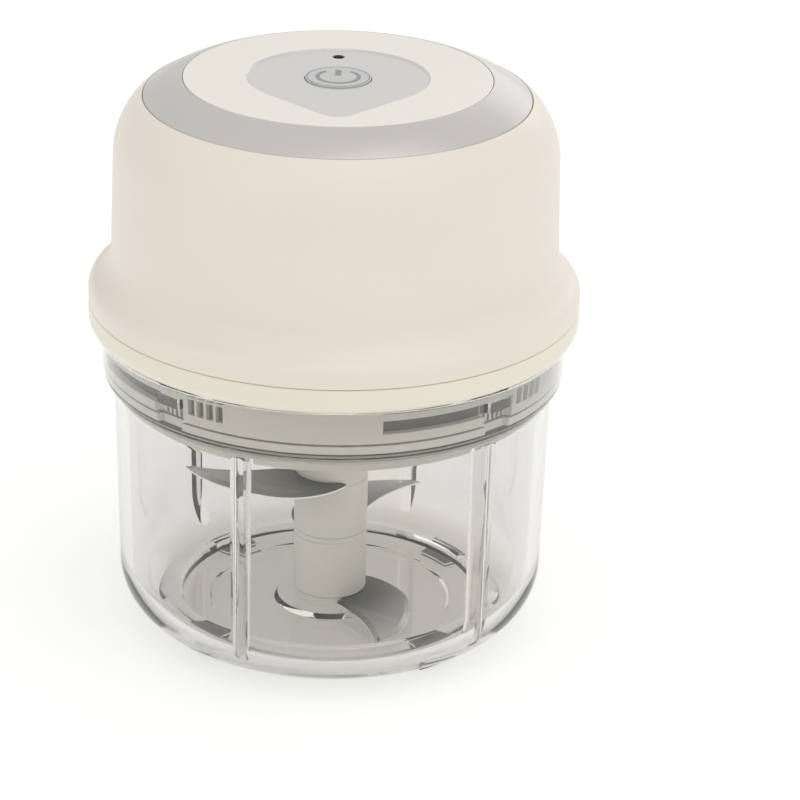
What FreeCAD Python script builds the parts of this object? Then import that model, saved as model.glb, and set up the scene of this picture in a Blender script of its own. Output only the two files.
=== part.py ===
import FreeCAD, Part
import Sketcher
import math
import os
import re

# A small cordless food chopper: a clear cup with three crescent blades on a steel pin, and a
# motor head that sets on the cup's rim and turns to lock. Millimetres, +Z up, and the origin
# is the centre of the cup's footprint on the table.

sizes = {
    # cup
    "foot_height": 0.5, "foot_pocket": 0.8, "foot_inset": 1, "foot_reach": 2.9, "foot_sweep": 15,
    "foot_start": -147, "corner_run": 10.9, "corner_height": 12, "corner_arc": 10.95, "cup_draft": 0.8,
    "high_radius": 38.2, "cup_wall": 2.2, "rim_shoulder": 2, "seat_depth": 8.2, "rim_flare": 1.8,
    "rim_wall": 2.8, "rim_height": 55.2, "floor_height": 3, "dish_border": 4.9, "dish_depth": 0.4,
    "floor_inset": 0.1, "floor_step": 2.2, "boss_radius": 9.3, "boss_rise": 0.4, "rib_width": 2.4,
    "rib_depth": 5, "rib_drop": 3, "rib_first": 64.5, "rib_second": 136.5, "lug_lift": 4,
    "lug_thick": 1.8, "lug_width": 4.6, "lug_depth": 1.5, "lug_angle": 45.5, "pin_radius": 2,
    "pin_base": 1.4, "pin_top": 24,
    # clearances
    "travel_gap": 0.3, "lid_gap": 0.2, "seat_gap": 0.05, "bore_gap": 0.05, "head_gap": 0.4,
    # blade unit
    "hub_radius": 6.5, "hub_flange": 0.4, "core_radius": 4.2, "core_top": 34, "blade_thick": 0.9,
    "blade_tip": 26, "back_arc": 24, "back_run": 14.04, "back_width": 10.92, "shoulder_arc": 11.5,
    "heel_along": 2.8, "heel_across": 10.9, "heel_arc": 12, "tail_along": -3.4, "tail_across": 5,
    "root_along": 7.1, "root_across": -0.9, "edge_arc": 25, "middle_blade_height": 15.75,
    "upper_blade_height": 26.75, "lower_blade_angle": -72, "middle_blade_angle": 50,
    "upper_blade_angle": 178, "boss_shaft_radius": 6, "boss_lift": 2.5, "dog_height": 3.5,
    "dog_inner": 2.2, "dog_outer": 5.8, "dog_sweep": 30, "drive_dog_angle": 31,
    # lid inside the rim
    "lid_thick": 1.4, "lid_bore": 7.4, "seal_space": 3, "skirt_wall": 1.6, "skirt_drop": 5,
    "skirt_slot": 3.2, "notch_width": 5.6, "seal_height": 1.9, "seal_gap": 0.5,
    # base cover of the head
    "collar_wall": 4, "collar_lift": 1.8, "cover_thick": 2, "cover_bore": 9, "well_radius": 15.6,
    "well_bore": 14.05, "well_depth": 7.6, "well_drop": 1.4, "twist_range": 28, "entry_sweep": 10,
    "window_start": 6.5, "window_sweep": 11, "window_step": 0.6, "window_height": 2.6,
    "shaft_seal_radius": 10.35, "shaft_seal_height": 2.15,
    # casing
    "ring_overhang": 1.5, "ring_lower_arc": 2.2, "ring_round": 2, "ring_lap": 1.7, "parting_lift": 5,
    "parting_gap": 0.1, "ring_rise": 2.1, "ring_shoulder": 2.3, "flare_arc": 2.6, "flare_hollow": 6.2,
    "barrel_step": 0.35, "flare_rise": 4.1, "barrel_draft": 0.47, "crown_rise": 10.4, "dome_arc": 13.8,
    "bezel_rise": 3.24, "casing_wall": 1.9, "crown_run": 5.08, "bezel_gap": 0.1, "bezel_seat": 1.65,
    "lip_depth": 1.5, "bezel_ledge": 2, "bezel_width": 6.65, "bezel_arc": 22, "head_height": 44.6,
    "plate_thick": 1.8, "plate_ledge": 1.9, "ledge_thick": 1.2, "post_radius": 3, "post_inset": 3.5,
    "post_height": 19.8, "post_web": 2, "post_angle": 60, "screw_radius": 1.25,
    "screw_head_radius": 2.6, "screw_head": 1, "screw_reach": 12,
    # button, lamp and board
    "button_radius": 5.6, "button_gap": 0.15, "flange_lap": 1.4, "button_flange_thick": 1,
    "guide_length": 1.8, "guide_wall": 1.4, "lamp_radius": 1, "lamp_place": 11.9,
    "pipe_flange": 2, "pipe_flange_thick": 1, "board_drop": 8.8, "board_thick": 1.2,
    "board_radius": 25, "board_half_width": 15.4, "switch_side": 6, "switch_height": 1.4,
    "plunger_radius": 1.7, "plunger_height": 0.4, "led_radius": 1.3, "led_height": 1.4,
    "board_post_x": 12, "board_post_y": -12, "board_post_radius": 2, "board_screw_radius": 0.9,
    "board_screw_head": 1.8, "board_screw_head_thick": 0.8, "board_screw_grip": 3.5,
    # cells and charging
    "cell_radius": 9.1, "cell_inset": 8.2, "cell_lift": 3, "cell_length": 34.5, "holder_wall": 1.1,
    "holder_height": 9.2, "holder_floor": 1.3, "socket_width": 8.94, "socket_height": 3.26,
    "socket_depth": 7.35, "socket_wall": 0.4, "socket_round": 1.2, "socket_lift": 3.4,
    "socket_board_gap": 4.1, "socket_board_thick": 1.2, "socket_board_width": 16, "board_overlap": 0.5,
    "pad_width": 17, "pad_depth": 3.65, "pad_lift": 8.8, "pad_height": 11, "tongue_width": 6.7,
    "tongue_thick": 0.7, "mouth_margin": 0.4, "flap_width": 13, "flap_lift": 1.4, "flap_height": 7.6,
    "flap_roll_place": 0.7, "flap_roll": 0.5, "flap_clearance": 0.15, "flap_stand": 1.35,
    "recess_depth": 1.23, "recess_margin": 0.4,
    # interlock
    "interlock_angle": -37, "interlock_inset": 3, "interlock_pin_radius": 1, "pin_lift": 2.2,
    "pin_rise": 2.2, "interlock_travel": 1, "track_width": 3.2, "track_depth": 1.2, "tab_sweep": 6,
    "tab_height": 1.2, "tab_width": 2, "microswitch_height": 5.85, "microswitch_width": 4.4,
    "microswitch_near": 1.6, "microswitch_far": 7, "lever_thick": 0.25,
    # gear train and motor
    "gear_module": 0.5, "sun_teeth": 12, "planet_teeth": 18, "ring_teeth": 48, "gear_backlash": 0.16,
    "gear_lift": 2.5, "gear_face": 4, "ring_gear_radius": 14, "carrier_radius": 11.2,
    "carrier_lift": 0.4, "carrier_thick": 1.7, "carrier_hub": 8.5, "hub_lift": 3.4,
    "drive_dog_outer": 7, "planet_pin_radius": 1, "motor_plate_thick": 1.5, "motor_radius": 12.2,
    "motor_length": 24, "can_wall": 0.9, "can_face": 1, "nose_radius": 3, "nose_length": 1.2,
    "nose_bore": 2.5, "shaft_radius": 1, "shaft_reach": 26.8, "end_cap_thick": 1.3, "end_boss": 1.5,
    "bush_length": 2.6, "magnet_inner": 9.3, "magnet_sweep": 130, "magnet_lift": 4.6,
    "magnet_length": 17, "armature_radius": 8.6, "armature_lift": 5.6, "armature_length": 13,
    "armature_slot": 3.2, "winding_radius": 7.2, "winding_inner": 2.2, "winding_height": 1.8,
    "commutator_radius": 2.4, "commutator_lift": 20.9, "commutator_length": 2.6, "brush_gap": 0.1,
    "brush_length": 2.4, "brush_side": 1.4, "motor_screw_circle": 7.5, "motor_screw_radius": 1.2,
    "motor_screw_head": 2.2, "motor_screw_head_thick": 0.8, "motor_screw_reach": 2.3, "slip": 0.01,
}

# sizes that follow from others, so that pieces that meet keep together
tied = {
    # radii and places
    "low_radius": "high_radius - cup_draft",
    "base_radius": "low_radius - corner_run",
    "rim_bore": "high_radius",
    "rim_low_radius": "high_radius + rim_flare",
    "rim_high_radius": "high_radius + rim_wall",
    "floor_radius": "base_radius - floor_inset",
    "dish_radius": "floor_radius - dish_border",
    "foot_inner": "base_radius - foot_inset",
    "foot_outer": "base_radius + foot_reach",
    "rib_radius": "low_radius - rib_depth",
    "lug_radius": "high_radius - lug_depth",
    "lid_radius": "rim_bore - travel_gap",
    "collar_radius": "rim_bore - travel_gap",
    "notch_radius": "lug_radius - travel_gap",
    "groove_floor": "lug_radius - head_gap",
    "window_floor": "groove_floor + window_step",
    "skirt_radius": "high_radius - cup_wall - seal_space",
    "seal_radius": "high_radius - cup_wall - seal_gap",
    "ring_lower_radius": "rim_high_radius",
    "ring_radius": "rim_high_radius + ring_overhang",
    "ring_bore": "rim_bore + seat_gap",
    "ring_seat": "collar_radius - ring_lap",
    "flare_radius": "rim_high_radius",
    "barrel_low_radius": "high_radius + barrel_step",
    "barrel_top_radius": "barrel_low_radius - barrel_draft",
    "bezel_radius": "barrel_top_radius - crown_run",
    "bezel_inner": "bezel_radius - bezel_width",
    "recess_floor": "barrel_top_radius - recess_depth",
    "flap_inner": "recess_floor + flap_clearance",
    "flap_outer": "recess_floor + flap_stand",
    "flap_hinge_y": "recess_floor + flap_roll_place",
    "pad_inner": "recess_floor - pad_depth",
    "socket_board_y": "pad_inner - socket_board_gap",
    "post_circle": "collar_radius - collar_wall - post_inset",
    "interlock_place": "skirt_radius - interlock_inset",
    "holder_reach": "collar_radius - collar_wall - travel_gap",
    "cell_place": "holder_reach - cell_inset",
    "button_flange": "button_radius + flange_lap",
    # heights
    "ledge_height": "rim_height - seat_depth",
    "shoulder_height": "ledge_height - rim_shoulder",
    "rib_top": "ledge_height - rib_drop",
    "lug_base": "ledge_height + lug_lift",
    "skirt_bottom": "ledge_height - skirt_drop",
    "boss_shaft_top": "ledge_height + boss_lift",
    "dog_top": "boss_shaft_top + dog_height",
    "collar_top": "rim_height + collar_lift",
    "well_floor": "rim_height - well_drop",
    "well_top": "well_floor + well_depth",
    "parting_height": "rim_height + parting_lift",
    "ring_upper_height": "parting_height + ring_rise",
    "flare_height": "ring_upper_height + ring_shoulder",
    "barrel_low_height": "flare_height + flare_rise",
    "top_height": "rim_height + head_height",
    "dome_height": "top_height - bezel_rise",
    "barrel_top_height": "dome_height - crown_rise",
    "gear_base": "well_floor + gear_lift",
    "carrier_base": "well_floor + carrier_lift",
    "carrier_hub_low": "ledge_height + hub_lift",
    "drive_dog_low": "carrier_hub_low - head_gap",
    "shaft_low": "gear_base + travel_gap",
    "shaft_top": "well_top + shaft_reach",
    "magnet_low": "well_top + magnet_lift",
    "armature_low": "well_top + armature_lift",
    "commutator_low": "well_top + commutator_lift",
    "cell_base": "well_floor + cell_lift",
    "holder_top": "cell_base + holder_height",
    "post_top": "parting_height + post_height",
    "board_base": "top_height - board_drop",
    "pad_low": "parting_height + pad_lift",
    "pad_high": "pad_low + pad_height",
    "socket_base": "pad_low + socket_lift",
    "socket_board_low": "pad_low - board_overlap",
    "socket_board_high": "pad_high",
    "flap_low": "pad_low + flap_lift",
    "flap_hinge_height": "flap_low + flap_height",
    "interlock_pin_low": "ledge_height + pin_lift",
    "interlock_pin_top": "well_floor + pin_rise",
}

doc = FreeCAD.newDocument("FoodChopper")
sheet = doc.addObject("Spreadsheet::Sheet", "Sizes")
for row, (alias, size) in enumerate(sizes.items(), start=1):
    sheet.set(f"A{row}", alias)
    sheet.set(f"B{row}", str(size))
    sheet.setAlias(f"B{row}", alias)
doc.recompute()

nodes = {}


def spelled(text):
    """The same sum, with each tied size written out in the sheet's own sizes."""
    written = str(text)
    while any(word in tied for word in re.findall(r"[a-z_]+", written)):
        written = re.sub(r"[a-z_]+", lambda m: f"({tied[m[0]]})" if m[0] in tied else m[0], written)
    return written


def cell(text):
    """The same sum, with each size read from the sheet."""
    return re.sub(r"[a-z_]+", lambda m: f"Sizes.{m[0]}" if m[0] in sizes else m[0], spelled(text))


def number(text):
    """What a sum of sizes comes to now."""
    return float(sheet.evalExpression(spelled(text)))


def bind(item, settings):
    for name, text in settings.items():
        item.setExpression(name, cell(text))


def node(item, name):
    """Names a finished sub-part, which gives its file its name."""
    item.Label = name
    nodes[name] = item
    return item


# ---- simple solids, cut and joined ----

def rod(name, radius, low, high, x="0", y="0"):
    item = doc.addObject("Part::Cylinder", name)
    bind(item, {"Radius": radius, "Height": f"({high}) - ({low})", "Placement.Base.x": x,
                "Placement.Base.y": y, "Placement.Base.z": low})
    return item


def block(name, xs, ys, zs, turn="0"):
    """A box between pairs of limits, turned about the upright axis through the origin."""
    item = doc.addObject("Part::Box", name)
    bind(item, {"Length": f"({xs[1]}) - ({xs[0]})", "Width": f"({ys[1]}) - ({ys[0]})",
                "Height": f"({zs[1]}) - ({zs[0]})",
                "Placement.Base.x": f"({xs[0]}) * cos({turn}) - ({ys[0]}) * sin({turn})",
                "Placement.Base.y": f"({xs[0]}) * sin({turn}) + ({ys[0]}) * cos({turn})",
                "Placement.Base.z": zs[0], "Placement.Rotation.Angle": turn})
    return item


def cut(name, base, tools):
    tool = tools[0] if len(tools) == 1 else fuse(name + "_tools", tools)
    item = doc.addObject("Part::Cut", name)
    item.Base = base
    item.Tool = tool
    return item


def fuse(name, parts):
    item = doc.addObject("Part::MultiFuse", name)
    item.Shapes = parts
    return item


def common(name, base, tool):
    item = doc.addObject("Part::Common", name)
    item.Base = base
    item.Tool = tool
    return item


def group(name, parts):
    """Like pieces kept as separate solids in one sub-part."""
    item = doc.addObject("Part::Compound", name)
    item.Links = parts
    return item


def tube(name, outer, inner, low, high, x="0", y="0"):
    return cut(name, rod(name + "_outside", outer, low, high, x, y),
               [rod(name + "_bore", inner, low, high, x, y)])


def sector(name, radii, start, sweep, zs):
    """Part of a ring between two radii, from a start angle."""
    outside = doc.addObject("Part::Cylinder", name + "_outside")
    bind(outside, {"Radius": radii[1], "Angle": sweep, "Height": f"({zs[1]}) - ({zs[0]})",
                   "Placement.Base.z": zs[0], "Placement.Rotation.Angle": start})
    return cut(name, outside, [rod(name + "_inside", radii[0], zs[0], zs[1])])


# ---- sketched bodies ----

def outline(body, role, corners):
    """Sketches a closed outline. A corner is (across, up), and a bend after it makes the run to
    the next corner an arc: (across, up, radius, side its centre lies on)."""
    sketch = body.newObject("Sketcher::SketchObject", body.Name + "_outline")
    plane = next(item for item in body.Origin.OriginFeatures if item.Role == role)
    sketch.AttachmentSupport = (plane, [""])
    sketch.MapMode = "FlatFace"
    points = [FreeCAD.Vector(number(c[0]), number(c[1]), 0) for c in corners]
    ends = []
    for index, corner in enumerate(corners):
        start = points[index]
        finish = points[(index + 1) % len(points)]
        if len(corner) == 2:
            sketch.addGeometry(Part.LineSegment(start, finish), False)
            ends.append((1, 2))
            continue
        run = finish - start
        radius = number(corner[2])
        left = FreeCAD.Vector(-run.y, run.x, 0).normalize()
        reach = math.sqrt(max(radius ** 2 - run.Length ** 2 / 4, 0))
        side = 1 if corner[3] == "left" else -1
        centre = (start + finish) * 0.5 + left * reach * side
        first, last = (start, finish) if side > 0 else (finish, start)
        angles = [math.atan2(p.y - centre.y, p.x - centre.x) for p in (first, last)]
        circle = Part.Circle(centre, FreeCAD.Vector(0, 0, 1), radius)
        sketch.addGeometry(Part.ArcOfCircle(circle, angles[0], angles[1]), False)
        ends.append((1, 2) if side > 0 else (2, 1))
    for index, corner in enumerate(corners):
        after = (index + 1) % len(corners)
        sketch.addConstraint(Sketcher.Constraint("Coincident", index, ends[index][1], after, ends[after][0]))
        for kind, text, axis in (("DistanceX", corner[0], -2), ("DistanceY", corner[1], -1)):
            if str(text) == "0":
                sketch.addConstraint(Sketcher.Constraint("PointOnObject", index, ends[index][0], axis))
                continue
            at = sketch.addConstraint(
                Sketcher.Constraint(kind, -1, 1, index, ends[index][0], number(text)))
            sketch.renameConstraint(at, f"{kind}{index}")
            sketch.setExpression(f"Constraints.{kind}{index}", cell(text))
        if len(corner) > 2:
            at = sketch.addConstraint(Sketcher.Constraint("Radius", index, number(corner[2])))
            sketch.renameConstraint(at, f"Bend{index}")
            sketch.setExpression(f"Constraints.Bend{index}", cell(corner[2]))
    return sketch


def turned(name, corners):
    """A body turned about the upright axis from an outline of (radius, height) corners."""
    body = doc.addObject("PartDesign::Body", name)
    sketch = outline(body, "XZ_Plane", corners)
    feature = body.newObject("PartDesign::Revolution", name + "_turn")
    feature.Profile = sketch
    feature.ReferenceAxis = (sketch, ["V_Axis"])
    feature.Angle = 360
    sketch.Visibility = False
    return body


def padded(name, corners, thickness):
    body = doc.addObject("PartDesign::Body", name)
    sketch = outline(body, "XY_Plane", corners)
    feature = body.newObject("PartDesign::Pad", name + "_pad")
    feature.Profile = sketch
    feature.setExpression("Length", cell(thickness))
    return body


# ---- heights that several pieces share ----

stepHeight = "(floor_height + floor_step)"
hubBase = "(floor_height + boss_rise + travel_gap)"
lowerBlade = f"({hubBase} + hub_flange)"
lidBase = "(ledge_height + lid_gap)"
lidTop = f"({lidBase} + lid_thick)"
coverBase = f"({lidTop} + head_gap)"
coverTop = f"({coverBase} + cover_thick)"
plateBase = "(top_height - plate_thick)"
guideLow = f"({plateBase} - guide_length)"
boardTop = "(board_base + board_thick)"
motorBase = "(well_top + motor_plate_thick)"
motorTop = f"({motorBase} + motor_length)"
planetCircle = "(gear_module * (sun_teeth + planet_teeth) / 2)"
quarter = [0, 90, 180, 270]
thirds = [0, 120, 240]
ribAngles = ["rib_first", "rib_second", "rib_first + 180", "rib_second + 180"]
postAngles = ["post_angle", "180 - post_angle", "180 + post_angle", "-post_angle"]


# ---- cup, with everything that stays on the table ----

def makeCup():
    innerLow = "(low_radius - cup_wall)"
    body = turned("cup_shell", [
        ("0", "foot_height"),
        ("base_radius", "foot_height", "corner_arc", "left"),
        ("low_radius", "corner_height"),
        ("high_radius", "shoulder_height"),
        ("rim_low_radius", "ledge_height"),
        ("rim_high_radius", "rim_height"),
        ("rim_bore", "rim_height"),
        ("rim_bore", "ledge_height"),
        ("high_radius - cup_wall", "ledge_height"),
        (innerLow, "corner_height", "corner_arc - cup_wall", "right"),
        ("floor_radius + cup_wall / 2", stepHeight),
        ("floor_radius", stepHeight),
        ("floor_radius", "floor_height"),
        ("dish_radius", "floor_height"),
        ("dish_radius - dish_depth", "floor_height - dish_depth"),
        ("boss_radius + dish_depth", "floor_height - dish_depth"),
        ("boss_radius", "floor_height + boss_rise"),
        ("0", "floor_height + boss_rise"),
    ])
    ribs = fuse("ribs", [block(f"rib_{index}", ("rib_radius", "low_radius"),
                               ("-rib_width / 2", "rib_width / 2"), (stepHeight, "rib_top"), angle)
                         for index, angle in enumerate(ribAngles)])
    # the ribs run down into the rounded corner, so the middle of the wall trims them
    middle = turned("rib_limit", [
        ("0", "foot_height + cup_wall / 2"),
        ("base_radius", "foot_height + cup_wall / 2", "corner_arc - cup_wall / 2", "left"),
        ("low_radius - cup_wall / 2", "corner_height"),
        ("high_radius - cup_wall / 2", "shoulder_height"),
        ("0", "shoulder_height"),
    ])
    added = [body, common("ribs_trimmed", ribs, middle)]
    for index, angle in enumerate(quarter):
        added.append(block(f"lug_{index}", ("lug_radius", "rim_bore + cup_wall / 2"),
                           ("-lug_width / 2", "lug_width / 2"), ("lug_base", "lug_base + lug_thick"),
                           f"lug_angle + {angle}"))
    whole = fuse("cup_whole", added)
    holes = [rod("pin_hole", "pin_radius + slip", "pin_base", "floor_height + boss_rise")]
    holes += [sector(f"foot_pocket_{k}", ("foot_inner - seat_gap", "foot_outer + cup_wall"),
                     f"foot_start + {k * 90} - 0.2", "foot_sweep + 0.4", ("0", "foot_height + foot_pocket"))
              for k in range(4)]
    node(cut("cup_body", whole, holes), "cup")
    node(rod("pivot", "pin_radius", "pin_base", "pin_top"), "pivot_pin")
    feet = [sector(f"foot_{k}", ("foot_inner", "foot_outer"), f"foot_start + {k * 90}", "foot_sweep",
                   ("0", "foot_height + foot_pocket - seat_gap")) for k in range(4)]
    node(group("feet", feet), "rubber_feet")


# ---- blade unit ----

def crescent(name, angle, height):
    """A leaf with a round leading edge, swept to a point, on a ring that clamps round the core."""
    leaf = padded(name + "_leaf", [
        ("blade_tip", "0", "back_arc", "left"),
        ("blade_tip - back_run", "back_width", "shoulder_arc", "left"),
        ("heel_along", "heel_across", "heel_arc", "left"),
        ("tail_along", "tail_across"),
        ("root_along", "root_across", "edge_arc", "right"),
    ], "blade_thick")
    ring = rod(name + "_ring", "hub_radius - 0.1", "0", "blade_thick")
    bore = rod(name + "_bore", "core_radius + slip", "-1", "blade_thick + 1")
    blade = cut(name + "_blade", fuse(name + "_flat", [leaf, ring]), [bore])
    bind(blade, {"Placement.Base.z": height, "Placement.Rotation.Angle": angle})
    node(blade, name)


def makeBladeUnit():
    core = turned("core", [
        ("pin_radius + bore_gap", hubBase), ("hub_radius", hubBase), ("hub_radius", lowerBlade),
        ("core_radius", lowerBlade), ("core_radius", "core_top"), ("0", "core_top"),
        ("0", "pin_top + 1"), ("pin_radius + bore_gap", "pin_top + 1"),
    ])
    node(core, "blade_spindle")
    crescent("lower_blade", "lower_blade_angle", lowerBlade)
    crescent("middle_blade", "middle_blade_angle", "middle_blade_height")
    crescent("upper_blade", "upper_blade_angle", "upper_blade_height")
    sleeveBore = "core_radius + slip"
    node(tube("sleeve_low", "hub_radius", sleeveBore, f"{lowerBlade} + blade_thick",
              "middle_blade_height"), "lower_sleeve")
    node(tube("sleeve_mid", "hub_radius", sleeveBore, "middle_blade_height + blade_thick",
              "upper_blade_height"), "upper_sleeve")
    boss = turned("boss", [
        (sleeveBore, "upper_blade_height + blade_thick"),
        ("hub_radius", "upper_blade_height + blade_thick"),
        ("hub_radius", "upper_blade_height + blade_thick + 1"),
        ("boss_shaft_radius", "upper_blade_height + blade_thick + 2"),
        ("boss_shaft_radius", "boss_shaft_top"), ("0", "boss_shaft_top"),
        ("0", "core_top + slip"), (sleeveBore, "core_top + slip"),
    ])
    dogs = [sector(f"boss_dog_{k}", ("dog_inner", "dog_outer"), f"{k} - dog_sweep / 2", "dog_sweep",
                   ("boss_shaft_top - 0.5", "dog_top")) for k in thirds]
    node(fuse("boss_with_dogs", [boss] + dogs), "drive_boss")


# ---- lid that closes the cup under the head ----

def makeLid():
    body = turned("lid_disc", [
        ("lid_bore", lidBase), ("skirt_radius - skirt_wall", lidBase),
        ("skirt_radius - skirt_wall", "skirt_bottom"), ("skirt_radius", "skirt_bottom"),
        ("skirt_radius", lidBase), ("lid_radius", lidBase), ("lid_radius", lidTop),
        ("lid_bore", lidTop),
    ])
    tools = [block(f"lid_notch_{k}", ("notch_radius", "lid_radius + 1"),
                   ("-notch_width / 2", "notch_width / 2"), (f"{lidBase} - 1", f"{lidTop} + 1"),
                   f"lug_angle + {k}") for k in quarter]
    for index, angle in enumerate(ribAngles):
        tools.append(block(f"skirt_slot_{index}", ("skirt_radius - skirt_wall - 1", "skirt_radius + 1"),
                           ("-skirt_slot / 2", "skirt_slot / 2"),
                           ("skirt_bottom - 1", "rib_top + travel_gap"), angle))
    disc = cut("lid_cut", body, tools)
    tab = sector("lid_tab", ("interlock_place - tab_width / 2", "interlock_place + tab_width / 2"),
                 "interlock_angle + twist_range - tab_sweep / 2", "tab_sweep",
                 (f"{lidTop} - 0.5", f"{lidTop} + tab_height"))
    node(fuse("lid_whole", [disc, tab]), "inner_lid")
    node(tube("seal_ring", "seal_radius", "skirt_radius + slip", f"{lidBase} - seal_height - slip",
              f"{lidBase} - slip"), "lid_seal")


# ---- base cover with the bayonet collar and the gear well ----

def makeBaseCover():
    collarBore = "(collar_radius - collar_wall)"
    body = turned("cover_disc", [
        ("cover_bore", coverBase), ("collar_radius", coverBase), ("collar_radius", "collar_top"),
        (collarBore, "collar_top"), (collarBore, coverTop), ("well_radius", coverTop),
        ("well_radius", "well_top"), ("well_bore", "well_top"), ("well_bore", "well_floor"),
        ("shaft_seal_radius + seat_gap", "well_floor"), ("shaft_seal_radius + seat_gap", coverTop),
        ("cover_bore", coverTop),
    ])
    tools = []
    channel = ("lug_base - travel_gap", "lug_base + lug_thick + travel_gap")
    outside = "collar_radius + 1"
    for k in quarter:
        centre = f"lug_angle + {k}"
        tools.append(sector(f"channel_{k}", ("groove_floor", outside),
                            f"{centre} - twist_range - entry_sweep / 2",
                            "twist_range + entry_sweep", channel))
        tools.append(sector(f"entry_{k}", ("groove_floor", outside), f"{centre} - entry_sweep / 2",
                            "entry_sweep", (f"{coverBase} - 1", channel[1])))
        tools.append(sector(f"window_{k}", ("window_floor", outside), f"{centre} + window_start",
                            "window_sweep", ("lug_base - travel_gap", "lug_base + window_height")))
    for k, angle in enumerate(postAngles):
        x = f"post_circle * cos({angle})"
        y = f"post_circle * sin({angle})"
        tools.append(rod(f"cover_screw_hole_{k}", "screw_radius + 0.15", f"{coverBase} - 1",
                         f"{coverTop} + 1", x, y))
        tools.append(rod(f"cover_counterbore_{k}", "screw_head_radius + 0.2", f"{coverBase} - 1",
                         f"{coverBase} + screw_head", x, y))
    halfTrack = "track_width / 2"
    tools.append(sector("track", (f"interlock_place - {halfTrack}", f"interlock_place + {halfTrack}"),
                        "interlock_angle - 6", "twist_range + 12", (f"{coverBase} - 1",
                                                                    f"{coverBase} + track_depth")))
    tools.append(rod("interlock_hole", "interlock_pin_radius + 0.1", f"{coverBase} - 1",
                     f"{coverTop} + 1", "interlock_place * cos(interlock_angle)",
                     "interlock_place * sin(interlock_angle)"))
    node(cut("cover_cut", body, tools), "base_cover")
    node(tube("seal_lip", "shaft_seal_radius", "carrier_hub + 0.1", f"{coverTop} + slip",
              f"{coverTop} + shaft_seal_height"), "shaft_seal")
    screws = []
    for k, angle in enumerate(postAngles):
        x = f"post_circle * cos({angle})"
        y = f"post_circle * sin({angle})"
        head = rod(f"screw_head_{k}", "screw_head_radius", coverBase, f"{coverBase} + screw_head", x, y)
        shank = rod(f"screw_shank_{k}", "screw_radius", f"{coverBase} + screw_head - 0.2",
                    f"{coverBase} + screw_head + screw_reach", x, y)
        screws.append(fuse(f"screw_{k}", [head, shank]))
    node(group("screws", screws), "casing_screws")


# ---- casing ----

def makeCasing():
    node(turned("ring_low", [
        ("ring_bore", "rim_height + head_gap"), ("ring_lower_radius", "rim_height + head_gap",
                                                 "ring_lower_arc", "left"),
        ("ring_radius", "rim_height + head_gap + ring_round"), ("ring_radius", "parting_height"),
        ("ring_seat", "parting_height"), ("ring_seat", "collar_top + slip"),
        ("ring_bore", "collar_top + slip"),
    ]), "lower_ring")

    domeCentre = "(barrel_top_radius - dome_arc)"
    rise = "(dome_height - bezel_seat - lip_depth - barrel_top_height)"
    inner = "(dome_arc - casing_wall)"
    seam = "(parting_height + parting_gap)"
    opening = "(bezel_radius + bezel_gap)"
    seat = "(dome_height - bezel_seat)"
    shell = turned("shell", [
        ("ring_radius - casing_wall", seam), ("ring_radius", seam),
        ("ring_radius", "ring_upper_height", "flare_arc", "left"),
        ("flare_radius", "flare_height", "flare_hollow", "right"),
        ("barrel_low_radius", "barrel_low_height"),
        ("barrel_top_radius", "barrel_top_height", "dome_arc", "left"),
        (f"{domeCentre} + sqrt(dome_arc * dome_arc - (dome_height - barrel_top_height)"
         " * (dome_height - barrel_top_height))", "dome_height"),
        (opening, "dome_height"), (opening, seat), (f"{opening} - bezel_ledge", seat),
        (f"{opening} - bezel_ledge", f"{seat} - lip_depth"),
        (f"{domeCentre} + sqrt({inner} * {inner} - {rise} * {rise})", f"{seat} - lip_depth", inner, "right"),
        ("barrel_top_radius - casing_wall", "barrel_top_height"),
        ("barrel_low_radius - casing_wall", "barrel_low_height - 2"),
        ("ring_radius - casing_wall", "ring_upper_height"),
    ])
    added = [shell]
    bores = []
    for k, angle in enumerate(postAngles):
        x = f"post_circle * cos({angle})"
        y = f"post_circle * sin({angle})"
        added.append(rod(f"post_{k}", "post_radius", f"{coverTop} + seat_gap", "post_top", x, y))
        added.append(block(f"web_{k}", ("post_circle", "barrel_top_radius - casing_wall / 2"),
                           ("-post_web / 2", "post_web / 2"), ("barrel_low_height", "post_top"), angle))
        bores.append(rod(f"post_bore_{k}", "screw_radius + slip", f"{coverTop} - 1",
                         f"{coverBase} + screw_head + screw_reach + 1", x, y))
    pad = common("socket_pad", block("pad_block", ("-pad_width / 2", "pad_width / 2"),
                                     ("pad_inner", "barrel_low_radius"), ("pad_low", "pad_high")),
                 rod("pad_limit", "barrel_top_radius - 0.3", "pad_low", "pad_high"))
    added.append(pad)
    socketTop = "(socket_base + socket_height)"
    bores.append(block("socket_mouth", ("-socket_width / 2 - mouth_margin",
                                        "socket_width / 2 + mouth_margin"),
                       ("pad_inner - 1", "barrel_low_radius + 1"),
                       ("socket_base - mouth_margin", f"{socketTop} + mouth_margin")))
    bores.append(block("flap_recess", ("-flap_width / 2 - recess_margin", "flap_width / 2 + recess_margin"),
                       ("recess_floor", "barrel_low_radius + 1"),
                       ("flap_low - recess_margin", "flap_hinge_height + flap_roll + travel_gap")))
    node(cut("casing_cut", fuse("casing_whole", added), bores), "upper_casing")

    node(turned("bezel", [
        (f"{opening} - bezel_ledge", f"{seat} + slip"), ("bezel_radius", f"{seat} + slip"),
        ("bezel_radius", "dome_height", "bezel_arc", "left"),
        ("bezel_inner", "top_height"), ("bezel_inner", plateBase),
        ("bezel_inner - plate_ledge", plateBase),
        ("bezel_inner - plate_ledge", f"{plateBase} - ledge_thick"),
    ]), "bezel_ring")


# ---- top plate, button, lamp and control board ----

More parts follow.
